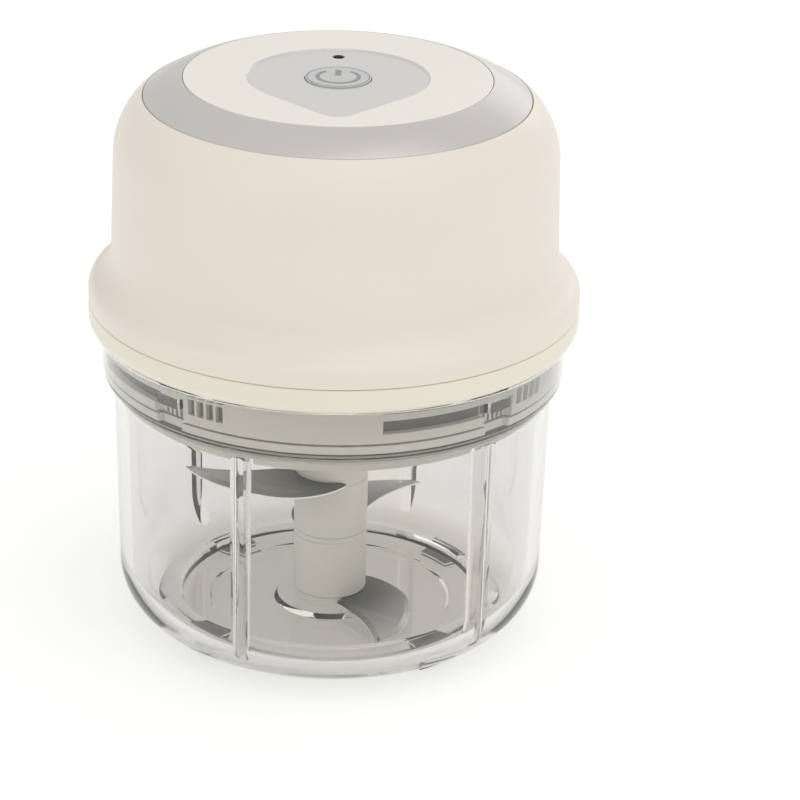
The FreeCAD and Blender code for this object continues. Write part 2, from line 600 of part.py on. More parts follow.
def makeTop():
    hole = "(button_radius + button_gap)"
    disc = turned("plate_disc", [
        (hole, guideLow), (f"{hole} + guide_wall", guideLow), (f"{hole} + guide_wall", plateBase),
        ("bezel_inner - bezel_gap", plateBase), ("bezel_inner - bezel_gap", "top_height"),
        (hole, "top_height"),
    ])
    posts = []
    bores = [rod("lamp_hole", "lamp_radius + 0.1", f"{plateBase} - 1", "top_height + 1", "0",
                 "lamp_place")]
    screws = []
    boardHoles = []
    for k, x in enumerate(["board_post_x", "-board_post_x"]):
        posts.append(rod(f"board_post_{k}", "board_post_radius", f"{boardTop} + slip",
                         f"{plateBase} + 0.5", x, "board_post_y"))
        bores.append(rod(f"board_post_bore_{k}", "board_screw_radius + slip", boardTop,
                         f"{boardTop} + board_screw_grip + 0.5", x, "board_post_y"))
        boardHoles.append(rod(f"board_hole_{k}", "board_screw_radius + 0.2", "board_base - 1",
                              f"{boardTop} + 1", x, "board_post_y"))
        head = rod(f"board_screw_head_{k}", "board_screw_head", "board_base - board_screw_head_thick",
                   "board_base - slip", x, "board_post_y")
        shank = rod(f"board_screw_shank_{k}", "board_screw_radius", "board_base - 0.2",
                    f"{boardTop} + board_screw_grip", x, "board_post_y")
        screws.append(fuse(f"board_screw_{k}", [head, shank]))
    node(cut("plate_cut", fuse("plate_whole", [disc] + posts), bores), "top_plate")
    node(group("board_screw_pair", screws), "board_screws")

    flangeTop = f"({guideLow} - 0.1)"
    node(turned("button", [
        ("0", f"{flangeTop} - button_flange_thick"), ("button_flange", f"{flangeTop} - button_flange_thick"),
        ("button_flange", flangeTop), ("button_radius", flangeTop), ("button_radius", "top_height"),
        ("0", "top_height"),
    ]), "power_button")

    pipeFlange = rod("pipe_flange_disc", "pipe_flange", f"{plateBase} - pipe_flange_thick - slip",
                     f"{plateBase} - slip", "0", "lamp_place")
    pipe = rod("pipe_rod", "lamp_radius", f"{boardTop} + led_height + travel_gap", "top_height - 0.1", "0",
               "lamp_place")
    node(fuse("pipe", [pipe, pipeFlange]), "lamp_pipe")
    node(rod("led", "led_radius", f"{boardTop} + slip", f"{boardTop} + led_height", "0", "lamp_place"),
         "status_led")

    board = common("board_trim", rod("board_round", "board_radius", "board_base", boardTop),
                   block("board_sides", ("-board_half_width", "board_half_width"),
                         ("-board_radius", "board_radius"), ("board_base", boardTop)))
    node(cut("board_cut", board, boardHoles), "control_board")
    half = "switch_side / 2"
    body = block("tact_body", (f"-{half}", half), (f"-{half}", half),
                 (f"{boardTop} + slip", f"{boardTop} + switch_height"))
    plunger = rod("tact_plunger", "plunger_radius", f"{boardTop} + switch_height - 0.2",
                  f"{boardTop} + switch_height + plunger_height")
    node(fuse("tact", [body, plunger]), "button_switch")


# ---- cells and charging socket ----

def makePower():
    for side, sign in (("right", ""), ("left", "-")):
        x = f"{sign}cell_place"
        can = rod(f"cell_can_{side}", "cell_radius", "cell_base", "cell_base + cell_length - 1", x)
        tip = rod(f"cell_tip_{side}", "cell_radius / 3", "cell_base + cell_length - 1.2",
                  "cell_base + cell_length", x)
        node(fuse(f"cell_{side}", [can, tip]), f"battery_cell_{side}")
        limit = tube(f"holder_limit_{side}", "holder_reach", "well_radius + 0.1", coverTop, "holder_top")
        wall = rod(f"holder_wall_{side}", "cell_radius + seat_gap + holder_wall",
                   f"{coverTop} + slip", "holder_top", x)
        upper = rod(f"holder_upper_{side}", "cell_radius + seat_gap", "cell_base - slip", "holder_top", x)
        under = rod(f"holder_under_{side}", "cell_radius + seat_gap", coverTop,
                    "cell_base - slip - holder_floor", x)
        hollow = cut(f"holder_hollow_{side}", wall, [upper, under])
        node(common(f"holder_{side}", hollow, limit), f"cell_holder_{side}")

    half = "socket_width / 2"
    socketTop = "(socket_base + socket_height)"
    mouth = "(socket_board_y + socket_depth)"
    outside = doc.addObject("Part::Fillet", "socket_outside")
    outside.Base = block("socket_block", (f"-{half}", half), ("socket_board_y + slip", mouth),
                         ("socket_base", socketTop))
    inside = doc.addObject("Part::Fillet", "socket_inside")
    inside.Base = block("socket_hollow", (f"-{half} + socket_wall", f"{half} - socket_wall"),
                        ("socket_board_y + 1.5", f"{mouth} + 1"),
                        ("socket_base + socket_wall", f"{socketTop} - socket_wall"))
    doc.recompute()
    for item, radius in ((outside, number("socket_round")), (inside, number("socket_round - socket_wall"))):
        item.Edges = [(index, radius, radius) for index, edge in enumerate(item.Base.Shape.Edges, start=1)
                      if abs(edge.tangentAt(edge.FirstParameter).y) > 0.99]
    shell = cut("socket_shell", outside, [inside])
    middle = "(socket_base + socket_height / 2)"
    tongue = block("socket_tongue", ("-tongue_width / 2", "tongue_width / 2"),
                   ("socket_board_y + 1", f"{mouth} - 0.8"),
                   (f"{middle} - tongue_thick / 2", f"{middle} + tongue_thick / 2"))
    node(fuse("socket", [shell, tongue]), "charge_socket")
    node(block("socket_board", ("-socket_board_width / 2", "socket_board_width / 2"),
               ("socket_board_y - socket_board_thick", "socket_board_y"),
               ("socket_board_low", "socket_board_high")), "charge_board")

    leaf = common("flap_leaf", block("flap_block", ("-flap_width / 2", "flap_width / 2"),
                                     ("flap_inner", "flap_outer + 1"), ("flap_low", "flap_hinge_height")),
                  rod("flap_limit", "flap_outer", "flap_low - 1", "flap_hinge_height + 1"))
    roll = doc.addObject("Part::Cylinder", "flap_roll_rod")
    bind(roll, {"Radius": "flap_roll", "Height": "flap_width", "Placement.Base.x": "-flap_width / 2",
                "Placement.Base.y": "flap_hinge_y", "Placement.Base.z": "flap_hinge_height"})
    roll.Placement.Rotation = FreeCAD.Rotation(FreeCAD.Vector(0, 1, 0), 90)
    node(fuse("flap", [leaf, roll]), "port_cover")


# ---- interlock that feels the lid's tab once the head is turned ----

def makeInterlock():
    x = "interlock_place * cos(interlock_angle)"
    y = "interlock_place * sin(interlock_angle)"
    node(rod("interlock_rod", "interlock_pin_radius", "interlock_pin_low", "interlock_pin_top", x, y),
         "interlock_pin")
    across = ("interlock_place - microswitch_width / 2", "interlock_place + microswitch_width / 2")
    bodyTop = f"({coverTop} + microswitch_height)"
    leverLow = "(interlock_pin_top + interlock_travel + 0.15)"
    body = block("microswitch_body", across, ("-microswitch_far", "-microswitch_near"),
                 (f"{coverTop} + slip", bodyTop), "interlock_angle")
    foot = block("microswitch_foot", across, ("-microswitch_far", "-microswitch_far + 1"),
                 (f"{bodyTop} - 0.2", f"{leverLow} + lever_thick"), "interlock_angle")
    lever = block("microswitch_lever", across, ("-microswitch_far", "microswitch_near"),
                  (leverLow, f"{leverLow} + lever_thick"), "interlock_angle")
    node(fuse("microswitch", [body, foot, lever]), "interlock_switch")


# ---- gears ----

def gearFace(teeth, thinning, tip, root):
    """The face of a spur gear of involute teeth, one tooth centred on the X axis."""
    pitch = number("gear_module") * teeth / 2
    base = pitch * math.cos(math.radians(20))

    def turn(radius):
        angle = math.acos(min(base / radius, 1))
        return math.tan(angle) - angle

    def halfTooth(radius):
        return math.pi / (2 * teeth) - thinning / (2 * pitch) + turn(pitch) - turn(max(radius, base))

    def spot(radius, angle):
        return FreeCAD.Vector(radius * math.cos(angle), radius * math.sin(angle), 0)

    flank = [root + (tip - root) * step / 4 for step in range(5)]
    edges = []
    for tooth in range(teeth):
        middle = 2 * math.pi * tooth / teeth
        rising = [spot(radius, middle - halfTooth(radius)) for radius in flank]
        falling = [spot(radius, middle + halfTooth(radius)) for radius in reversed(flank)]
        following = spot(root, middle + 2 * math.pi / teeth - halfTooth(root))
        for run in (rising, falling):
            curve = Part.BSplineCurve()
            curve.interpolate(run)
            edges.append(curve.toShape())
        edges.append(Part.Arc(rising[-1], spot(tip, middle), falling[0]).toShape())
        edges.append(Part.Arc(falling[-1], spot(root, middle + math.pi / teeth), following).toShape())
    return Part.Face(Part.Wire(Part.__sortEdges__(edges)))


def gearFeature(name, shape, placement):
    item = doc.addObject("Part::Feature", name)
    item.Shape = shape
    item.Placement = placement
    return node(item, name)


def at(x, y, z, turn=0):
    return FreeCAD.Placement(FreeCAD.Vector(x, y, z), FreeCAD.Rotation(FreeCAD.Vector(0, 0, 1), turn))


def makeGears():
    module = number("gear_module")
    backlash = number("gear_backlash")
    face = FreeCAD.Vector(0, 0, number("gear_face"))
    low = number("gear_base")
    sunTeeth, planetTeeth, ringTeeth = (int(number(n)) for n in ("sun_teeth", "planet_teeth", "ring_teeth"))

    def solid(teeth, bore):
        pitch = module * teeth / 2
        wheel = gearFace(teeth, backlash / 2, pitch + 0.9 * module, pitch - 1.25 * module).extrude(face)
        return wheel.cut(Part.makeCylinder(bore, face.z))

    gearFeature("sun_gear", solid(sunTeeth, number("shaft_radius + slip")), at(0, 0, low))
    circle = number(planetCircle)
    for index, angle in enumerate(thirds, start=1):
        place = at(circle * math.cos(math.radians(angle)), circle * math.sin(math.radians(angle)), low,
                   angle + 180 / planetTeeth)
        gearFeature(f"planet_gear_{index}", solid(planetTeeth, number("planet_pin_radius + bore_gap")), place)
    # a ring gear's tooth spaces have the outline of a wheel with the same number of teeth
    pitch = module * ringTeeth / 2
    spaces = gearFace(ringTeeth, -backlash / 2, pitch + 1.25 * module, pitch - 0.9 * module).extrude(face)
    base = number("well_floor + slip")
    height = number("well_top - slip") - base
    ring = Part.makeCylinder(number("ring_gear_radius"), height)
    ring = ring.cut(Part.makeCylinder(pitch + 1.25 * module + 0.1, low - base + 0.001))
    spaces.Placement = at(0, 0, low - base, 180 / ringTeeth)
    ring = ring.cut(spaces)
    above = low + face.z - base
    ring = ring.cut(Part.makeCylinder(pitch + 1.25 * module + 0.1, height - above + 1,
                                      FreeCAD.Vector(0, 0, above - 0.001)))
    gearFeature("ring_gear", ring, at(0, 0, base))


def makeCarrier():
    hub = rod("carrier_hub_disc", "carrier_hub", "dog_top + travel_gap + 0.1", "carrier_base + 0.5")
    skirt = tube("carrier_skirt", "carrier_hub", "drive_dog_outer - 0.2", "carrier_hub_low",
                 "dog_top + travel_gap + 0.2")
    disc = rod("carrier_disc", "carrier_radius", "carrier_base", "carrier_base + carrier_thick")
    dogs = [sector(f"drive_dog_{k}", ("dog_inner", "drive_dog_outer"), f"drive_dog_angle + {k}",
                   "dog_sweep", ("drive_dog_low", "dog_top + travel_gap + 0.2")) for k in thirds]
    holes = []
    pins = []
    for index, angle in enumerate(thirds):
        x = f"{planetCircle} * cos({angle})"
        y = f"{planetCircle} * sin({angle})"
        holes.append(rod(f"planet_pin_hole_{index}", "planet_pin_radius + slip",
                         "carrier_base + 0.5", "carrier_base + carrier_thick + 1", x, y))
        pins.append(rod(f"planet_pin_{index}", "planet_pin_radius", "carrier_base + 0.5 + slip",
                        "gear_base + gear_face", x, y))
    node(cut("carrier_cut", fuse("carrier_whole", [disc, hub, skirt] + dogs), holes), "planet_carrier")
    node(group("pins", pins), "planet_pins")


# ---- motor ----

def makeMotor():
    plateHoles = [rod("plate_nose_hole", "nose_radius + 0.1", "well_top - 1", f"{motorBase} + 1")]
    faceHoles = []
    screws = []
    for k, angle in enumerate([30, 210]):
        x = f"motor_screw_circle * cos({angle})"
        y = f"motor_screw_circle * sin({angle})"
        plateHoles.append(rod(f"motor_counterbore_{k}", "motor_screw_head + 0.1", "well_top - 1",
                              "well_top + motor_screw_head_thick", x, y))
        plateHoles.append(rod(f"motor_plate_hole_{k}", "motor_screw_radius + 0.1", "well_top - 1",
                              f"{motorBase} + 1", x, y))
        faceHoles.append(rod(f"motor_face_hole_{k}", "motor_screw_radius + slip", f"{motorBase} - 1",
                             f"{motorBase} + can_face + 1", x, y))
        head = rod(f"motor_screw_head_{k}", "motor_screw_head", "well_top + slip",
                   "well_top + motor_screw_head_thick - slip", x, y)
        shank = rod(f"motor_screw_shank_{k}", "motor_screw_radius",
                    "well_top + motor_screw_head_thick - 0.2",
                    "well_top + motor_screw_head_thick + motor_screw_reach", x, y)
        screws.append(fuse(f"motor_screw_{k}", [head, shank]))
    node(cut("motor_plate_cut", rod("motor_plate_disc", "well_radius", "well_top + slip",
                                    f"{motorBase} - slip"), plateHoles), "motor_plate")
    node(group("motor_screw_pair", screws), "motor_screws")

    noseLow = f"({motorBase} - nose_length)"
    can = turned("can", [
        ("nose_bore", noseLow), ("nose_radius", noseLow), ("nose_radius", motorBase),
        ("motor_radius", motorBase), ("motor_radius", motorTop), ("motor_radius - can_wall", motorTop),
        ("motor_radius - can_wall", f"{motorBase} + can_face"), ("nose_bore", f"{motorBase} + can_face"),
    ])
    node(cut("can_cut", can, faceHoles), "motor_can")
    capRadius = "(motor_radius - can_wall - slip)"
    node(turned("end_cap", [
        ("nose_bore", f"{motorTop} - end_cap_thick"), (capRadius, f"{motorTop} - end_cap_thick"),
        (capRadius, motorTop), ("nose_radius + 0.8", motorTop),
        ("nose_radius + 0.8", f"{motorTop} + end_boss"), ("nose_bore", f"{motorTop} + end_boss"),
    ]), "motor_end_cap")
    bushes = [tube("front_bush", "nose_bore - slip", "shaft_radius + bore_gap", noseLow,
                   f"{noseLow} + bush_length"),
              tube("rear_bush", "nose_bore - slip", "shaft_radius + bore_gap",
                   f"{motorTop} + end_boss - bush_length", f"{motorTop} + end_boss")]
    node(group("bushes", bushes), "motor_bushes")
    magnets = [sector(f"magnet_{k}", ("magnet_inner", "motor_radius - can_wall - slip"),
                      f"{k} - magnet_sweep / 2", "magnet_sweep", ("magnet_low", "magnet_low + magnet_length"))
               for k in (0, 180)]
    node(group("magnets", magnets), "motor_magnets")
    brushIn = "(commutator_radius + brush_gap)"
    brushLow = "(commutator_low + commutator_length / 2 - brush_side / 2)"
    brushes = [block(f"brush_{k}", (brushIn, f"{brushIn} + brush_length"),
                     ("-brush_side / 2", "brush_side / 2"), (brushLow, f"{brushLow} + brush_side"), k)
               for k in (90, 270)]
    node(group("brushes", brushes), "motor_brushes")

    node(rod("shaft", "shaft_radius", "shaft_low", "shaft_top"), "motor_shaft")
    fit = "shaft_radius + slip"
    stackLow, stackTop = "armature_low", "armature_low + armature_length"
    stack = cut("stack_bored", rod("stack", "armature_radius", stackLow, stackTop),
                [rod("stack_bore", fit, stackLow + " - 1", stackTop + " + 1")])
    slots = [rod(f"stack_slot_{k}", "armature_slot / 2", stackLow + " - 1", stackTop + " + 1",
                 f"armature_radius * cos({k})", f"armature_radius * sin({k})") for k in (60, 180, 300)]
    node(cut("stack_cut", stack, slots), "armature_stack")
    ends = [tube("winding_low", "winding_radius", "winding_inner", "armature_low - winding_height",
                 "armature_low - slip"),
            tube("winding_high", "winding_radius", "winding_inner", "armature_low + armature_length + slip",
                 "armature_low + armature_length + winding_height")]
    node(group("winding_ends", ends), "armature_windings")
    node(tube("commutator_ring", "commutator_radius", fit, "commutator_low",
              "commutator_low + commutator_length"), "commutator")


for make in (makeCup, makeBladeUnit, makeLid, makeBaseCover, makeCasing, makeTop, makePower,
             makeInterlock, makeGears, makeCarrier, makeMotor):
    make()
doc.recompute()

for item in doc.Objects:
    if "Invalid" in item.State or "Error" in item.State:
        raise SystemExit(f"{item.Label} failed: {item.State}")
for name, item in nodes.items():
    if item.Shape.isNull() or not item.Shape.isValid() or not item.Shape.Solids:
        raise SystemExit(f"{name} has no valid solid")

os.makedirs("parts", exist_ok=True)
for name, item in nodes.items():
    item.Shape.exportStep(f"parts/{name}.step")
    box = item.Shape.BoundBox
    print(f"{name}: {len(item.Shape.Solids)} solid, {item.Shape.Volume:.1f} mm3, "
          f"z {box.ZMin:.2f} to {box.ZMax:.2f}")
print(len(nodes), "sub-parts written")
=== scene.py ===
import math

import bpy
from mathutils import Matrix, Vector


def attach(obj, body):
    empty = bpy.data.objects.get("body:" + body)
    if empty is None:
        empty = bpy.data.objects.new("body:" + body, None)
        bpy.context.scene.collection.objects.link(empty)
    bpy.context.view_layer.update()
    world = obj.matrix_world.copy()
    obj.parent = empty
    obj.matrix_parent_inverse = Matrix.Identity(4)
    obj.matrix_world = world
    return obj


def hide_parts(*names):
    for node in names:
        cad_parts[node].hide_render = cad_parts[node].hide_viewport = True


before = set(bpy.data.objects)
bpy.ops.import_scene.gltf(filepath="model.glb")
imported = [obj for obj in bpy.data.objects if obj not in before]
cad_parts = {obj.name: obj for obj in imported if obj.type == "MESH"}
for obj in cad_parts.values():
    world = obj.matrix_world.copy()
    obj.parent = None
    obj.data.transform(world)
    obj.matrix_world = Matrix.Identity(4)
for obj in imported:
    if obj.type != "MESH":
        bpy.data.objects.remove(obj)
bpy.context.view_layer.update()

mm = 0.001

# camera, a long lens standing a little above the chopper
camera = {"place": (0, -0.5523, 0.2783), "target": (0.01184, 0, 0.04053), "roll": 0.0259, "lens": 154}


def addCamera(spec):
    data = bpy.data.cameras.new("viewCamera")
    data.lens = spec["lens"]
    data.sensor_width = 36
    view = bpy.data.objects.new("viewCamera", data)
    bpy.context.scene.collection.objects.link(view)
    ahead = (Vector(spec["target"]) - Vector(spec["place"])).normalized()
    right = ahead.cross(Vector((0, 0, 1))).normalized()
    up = right.cross(ahead)
    sideways = right * math.cos(spec["roll"]) + up * math.sin(spec["roll"])
    upright = up * math.cos(spec["roll"]) - right * math.sin(spec["roll"])
    turn = Matrix((sideways, upright, -ahead)).transposed().to_4x4()
    view.matrix_world = Matrix.Translation(spec["place"]) @ turn
    bpy.context.scene.camera = view


addCamera(camera)
print("camera placed")


# modelling helpers

def deselect():
    bpy.ops.object.select_all(action="DESELECT")


def setMode(mode):
    bpy.ops.object.mode_set(mode=mode)


def only(piece):
    deselect()
    piece.select_set(True)
    bpy.context.view_layer.objects.active = piece


def applyModifier(piece, kind, **settings):
    only(piece)
    modifier = piece.modifiers.new(kind.title(), kind)
    for key, value in settings.items():
        setattr(modifier, key, value)
    bpy.ops.object.modifier_apply(modifier=modifier.name)


def softEdges(piece, width, segments=3, angle=30):
    applyModifier(piece, "BEVEL", width=width * mm, segments=segments, limit_method="ANGLE",
                  angle_limit=math.radians(angle))


def smooth(piece, angle=32):
    only(piece)
    bpy.ops.object.shade_smooth_by_angle(angle=math.radians(angle))


def tidyMesh(piece):
    only(piece)
    setMode("EDIT")
    bpy.ops.mesh.select_all(action="SELECT")
    bpy.ops.mesh.remove_doubles(threshold=0.002 * mm)
    bpy.ops.mesh.normals_make_consistent()
    setMode("OBJECT")


def arc(centre, radius, first, last, count):
    # points on a circle in a profile, angles in degrees, 0 outwards and 90 up
    turns = [math.radians(first + (last - first) * k / count) for k in range(count + 1)]
    return [(centre[0] + radius * math.cos(a), centre[1] + radius * math.sin(a)) for a in turns]


def atAngle(radius, angle):
    return radius * math.cos(math.radians(angle)), radius * math.sin(math.radians(angle))


def bend(start, end, radius, count=8):
    # an arc between two points, bulging to the right of the way it runs, or left if radius is negative
    a, b = Vector(start), Vector(end)
    run = b - a
    half = run.length / 2
    side = Vector((run.y, -run.x)).normalized()
    centre = (a + b) / 2 - side * math.copysign(math.sqrt(radius ** 2 - half ** 2), radius)
    whole = math.copysign(2 * math.asin(half / abs(radius)), radius)
    spokes = [Matrix.Rotation(whole * k / count, 2) @ (a - centre) for k in range(count + 1)]
    return [tuple(centre + spoke) for spoke in spokes]


def drawLine(name, points, closed):
    # one vertex, extruded along the points
    deselect()
    bpy.ops.mesh.primitive_plane_add(size=mm, location=(0, 0, 0))
    piece = bpy.context.object
    piece.name = name
    setMode("EDIT")
    bpy.ops.mesh.merge(type="CENTER")
    here = Vector(points[0]) * mm
    bpy.ops.transform.translate(value=here)
    for point in points[1:] + (points[:1] if closed else []):
        there = Vector(point) * mm
        bpy.ops.mesh.extrude_vertices_move(TRANSFORM_OT_translate={"value": there - here})
        here = there
    bpy.ops.mesh.select_all(action="SELECT")
    if closed:
        bpy.ops.mesh.remove_doubles(threshold=0.0005 * mm)
    return piece


def lathe(name, profile, closed=True, start=0, sweep=360, steps=144):
    # a profile of (radius, height) spun about the upright axis
    a = math.radians(start)
    points = [(r * math.cos(a), r * math.sin(a), z) for r, z in profile]
    piece = drawLine(name, points, closed)
    if sweep < 360:
        bpy.ops.mesh.edge_face_add()
    # spin runs clockwise, so the angle is turned round
    bpy.ops.mesh.spin(steps=steps, angle=-math.radians(sweep), center=(0, 0, 0), axis=(0, 0, 1))
    setMode("OBJECT")
    tidyMesh(piece)
    return piece


def oblong(radii, heights):
    (inner, outer), (low, high) = radii, heights
    return [(inner, low), (outer, low), (outer, high), (inner, high)]


def arcBlock(name, radii, heights, start, sweep, steps=24):
    return lathe(name, oblong(radii, heights), True, start, sweep, steps)


def slab(name, xs, ys, zs, turn=0):
    # a box between limits, turned about the upright axis
    deselect()
    size = Vector((xs[1] - xs[0], ys[1] - ys[0], zs[1] - zs[0])) * mm
    middle = Vector((xs[0] + xs[1], ys[0] + ys[1], zs[0] + zs[1])) * mm / 2
    bpy.ops.mesh.primitive_cube_add(size=1, location=Matrix.Rotation(math.radians(turn), 3, "Z") @ middle,
                                    rotation=(0, 0, math.radians(turn)))
    piece = bpy.context.object
    piece.name = name
    piece.scale = size
    bpy.ops.object.transform_apply()
    return piece


def post(name, radius, heights, x=0, y=0, sides=48):
    deselect()
    bpy.ops.mesh.primitive_cylinder_add(vertices=sides, radius=radius * mm,
                                        depth=(heights[1] - heights[0]) * mm,
                                        location=(x * mm, y * mm, (heights[0] + heights[1]) / 2 * mm))
    piece = bpy.context.object
    piece.name = name
    bpy.ops.object.transform_apply()
    return piece


def carve(piece, tools, operation="DIFFERENCE"):
    for tool in tools:
        applyModifier(piece, "BOOLEAN", object=tool, operation=operation, solver="EXACT")
        bpy.data.objects.remove(tool)


def finish(piece, material, body, nodes=(), angle=32):
    smooth(piece, angle)
    applyModifier(piece, "WEIGHTED_NORMAL", keep_sharp=True, weight=100)
    piece.data.materials.clear()
    piece.data.materials.append(material)
    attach(piece, body)
    if nodes:
        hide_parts(*nodes)
    print("piece", piece.name, len(piece.data.polygons), "faces")


# shader effects that several materials share

def newGroup(name, inputs, outputs):
    group = bpy.data.node_groups.new(name, "ShaderNodeTree")
    for label, kind, value in inputs:
        socket = group.interface.new_socket(name=label, in_out="INPUT", socket_type=kind)
        socket.default_value = value
    for label, kind in outputs:
        group.interface.new_socket(name=label, in_out="OUTPUT", socket_type=kind)
    source = group.nodes.new("NodeGroupInput")
    target = group.nodes.new("NodeGroupOutput")
    return group, source, target


def addNode(tree, kind, **settings):
    item = tree.nodes.new(kind)
    for key, value in settings.items():
        setattr(item, key, value)
    return item


def setInputs(item, values):
    for key, value in values.items():
        item.inputs[key].default_value = value


def stretched(tree, vector, scale):
    item = addNode(tree, "ShaderNodeMapping")
    setInputs(item, {"Scale": scale})
    tree.links.new(vector, item.inputs["Vector"])
    return item.outputs["Vector"]


def mathNode(tree, operation, first, second, clamp=False):
    item = addNode(tree, "ShaderNodeMath", operation=operation, use_clamp=clamp)
    for socket, value in zip(item.inputs, (first, second)):
        if isinstance(value, (int, float)):
            socket.default_value = value
        else:
            tree.links.new(value, socket)
    return item.outputs[0]


def noiseNode(tree, vector, scale, detail, roughness=0.5):
    item = addNode(tree, "ShaderNodeTexNoise")
    setInputs(item, {"Detail": detail, "Roughness": roughness})
    tree.links.new(vector, item.inputs["Vector"])
    if isinstance(scale, (int, float)):
        item.inputs["Scale"].default_value = scale
    else:
        tree.links.new(scale, item.inputs["Scale"])
    return item.outputs["Fac"]


def makeMouldSkin():
    # the fine orange peel, flow marks and handling haze of a moulded skin
    group, source, target = newGroup(
        "mouldSkin", [("Vector", "NodeSocketVector", (0, 0, 0)), ("Grain", "NodeSocketFloat", 900)],
        [("Height", "NodeSocketFloat"), ("Cloud", "NodeSocketFloat"), ("Haze", "NodeSocketFloat")])
    fine = noiseNode(group, source.outputs["Vector"], source.outputs["Grain"], 3)
    broad = noiseNode(group, source.outputs["Vector"], 34, 2)
    haze = noiseNode(group, stretched(group, source.outputs["Vector"], (60, 60, 9)), 1, 4, 0.6)
    peel = mathNode(group, "MULTIPLY", fine, 0.6)
    flow = mathNode(group, "MULTIPLY", broad, 0.4)
    group.links.new(mathNode(group, "ADD", peel, flow), target.inputs["Height"])
    group.links.new(broad, target.inputs["Cloud"])
    group.links.new(haze, target.inputs["Haze"])
    return group


def makeEdgeWear():
    # a mask of the corners that hands and cloths rub, broken up by noise
    group, source, target = newGroup(
        "edgeWear", [("Vector", "NodeSocketVector", (0, 0, 0)), ("Width", "NodeSocketFloat", 0.0004)],
        [("Mask", "NodeSocketFloat")])
    rounded = addNode(group, "ShaderNodeBevel", samples=4)
    group.links.new(source.outputs["Width"], rounded.inputs["Radius"])
    flat = addNode(group, "ShaderNodeNewGeometry")
    dot = addNode(group, "ShaderNodeVectorMath", operation="DOT_PRODUCT")
    group.links.new(rounded.outputs["Normal"], dot.inputs[0])
    group.links.new(flat.outputs["Normal"], dot.inputs[1])
    corner = mathNode(group, "MULTIPLY", mathNode(group, "SUBTRACT", 1, dot.outputs["Value"]), 5, True)
    breakUp = noiseNode(group, source.outputs["Vector"], 700, 4, 0.6)
    group.links.new(mathNode(group, "MULTIPLY", corner, breakUp, True), target.inputs["Mask"])
    return group


def makeGroundLines():
    # fine parallel lines left by a belt or a grinding wheel, along X of the vector it is given
    group, source, target = newGroup(
        "groundLines", [("Vector", "NodeSocketVector", (0, 0, 0)), ("Pitch", "NodeSocketFloat", 1)],
        [("Height", "NodeSocketFloat"), ("Streak", "NodeSocketFloat")])
    narrow = stretched(group, source.outputs["Vector"], (60, 4200, 4200))
    fine = noiseNode(group, narrow, source.outputs["Pitch"], 3, 0.7)
    streak = noiseNode(group, stretched(group, source.outputs["Vector"], (25, 500, 500)), 1, 2)
    group.links.new(fine, target.inputs["Height"])
    group.links.new(streak, target.inputs["Streak"])
    return group


mouldSkin = makeMouldSkin()
edgeWear = makeEdgeWear()
groundLines = makeGroundLines()
print("shader groups made")


# materials

def startMaterial(name):
    material = bpy.data.materials.new(name)
    material.use_nodes = True
    tree = material.node_tree
    tree.nodes.clear()
    output = addNode(tree, "ShaderNodeOutputMaterial")
    shader = addNode(tree, "ShaderNodeBsdfPrincipled")
    tree.links.new(shader.outputs[0], output.inputs["Surface"])
    place = addNode(tree, "ShaderNodeTexCoord").outputs["Object"]
    return material, tree, shader, place


def useGroup(tree, group, place, **values):
    item = addNode(tree, "ShaderNodeGroup", node_tree=group)
    tree.links.new(place, item.inputs["Vector"])
    setInputs(item, values)
    return item


def blendColours(tree, factor, first, second):
    item = addNode(tree, "ShaderNodeMix", data_type="RGBA")
    tree.links.new(factor, item.inputs[0])
    for socket, value in ((item.inputs[6], first), (item.inputs[7], second)):
        if isinstance(value, tuple):
            socket.default_value = (*value, 1)
        else:
            tree.links.new(value, socket)
    return item.outputs[2]


def spread(tree, value, low, high, fromLow=0.3, fromHigh=0.7):
    item = addNode(tree, "ShaderNodeMapRange")
    tree.links.new(value, item.inputs["Value"])
    setInputs(item, {"From Min": fromLow, "From Max": fromHigh, "To Min": low, "To Max": high})
    return item.outputs["Result"]


def bumpNode(tree, height, strength, distance):
    item = addNode(tree, "ShaderNodeBump")
    setInputs(item, {"Strength": strength, "Distance": distance * mm})
    tree.links.new(height, item.inputs["Height"])
    return item.outputs["Normal"]


def plasticMaterial(name, spec):
    # moulded plastic or rubber: two close tones in a soft cloud, rubbed edges, uneven gloss
    material, tree, shader, place = startMaterial(name)
    skin = useGroup(tree, mouldSkin, place, Grain=spec.get("grain", 900))
    wear = useGroup(tree, edgeWear, place, Width=0.35 * mm)
    tone = blendColours(tree, spread(tree, skin.outputs["Cloud"], 0, 1), spec["colour"], spec["shade"])
    edged = blendColours(tree, mathNode(tree, "MULTIPLY", wear.outputs["Mask"], spec.get("wear", 0.4)), tone,
                         spec.get("edge", (0.9, 0.89, 0.86)))
    tree.links.new(edged, shader.inputs["Base Color"])
    tree.links.new(spread(tree, skin.outputs["Haze"], *spec["roughness"]), shader.inputs["Roughness"])
    relief = bumpNode(tree, skin.outputs["Height"], spec.get("bump", 0.08), 0.04)
    tree.links.new(relief, shader.inputs["Normal"])
    setInputs(shader, {
        "IOR": spec.get("ior", 1.5), "Metallic": spec.get("metallic", 0), "Coat Weight": spec.get("coat", 0),
        "Coat Roughness": 0.1, "Subsurface Weight": spec.get("glow", 0),
        "Subsurface Radius": (1, 0.8, 0.6), "Subsurface Scale": 0.8 * mm})
    return material


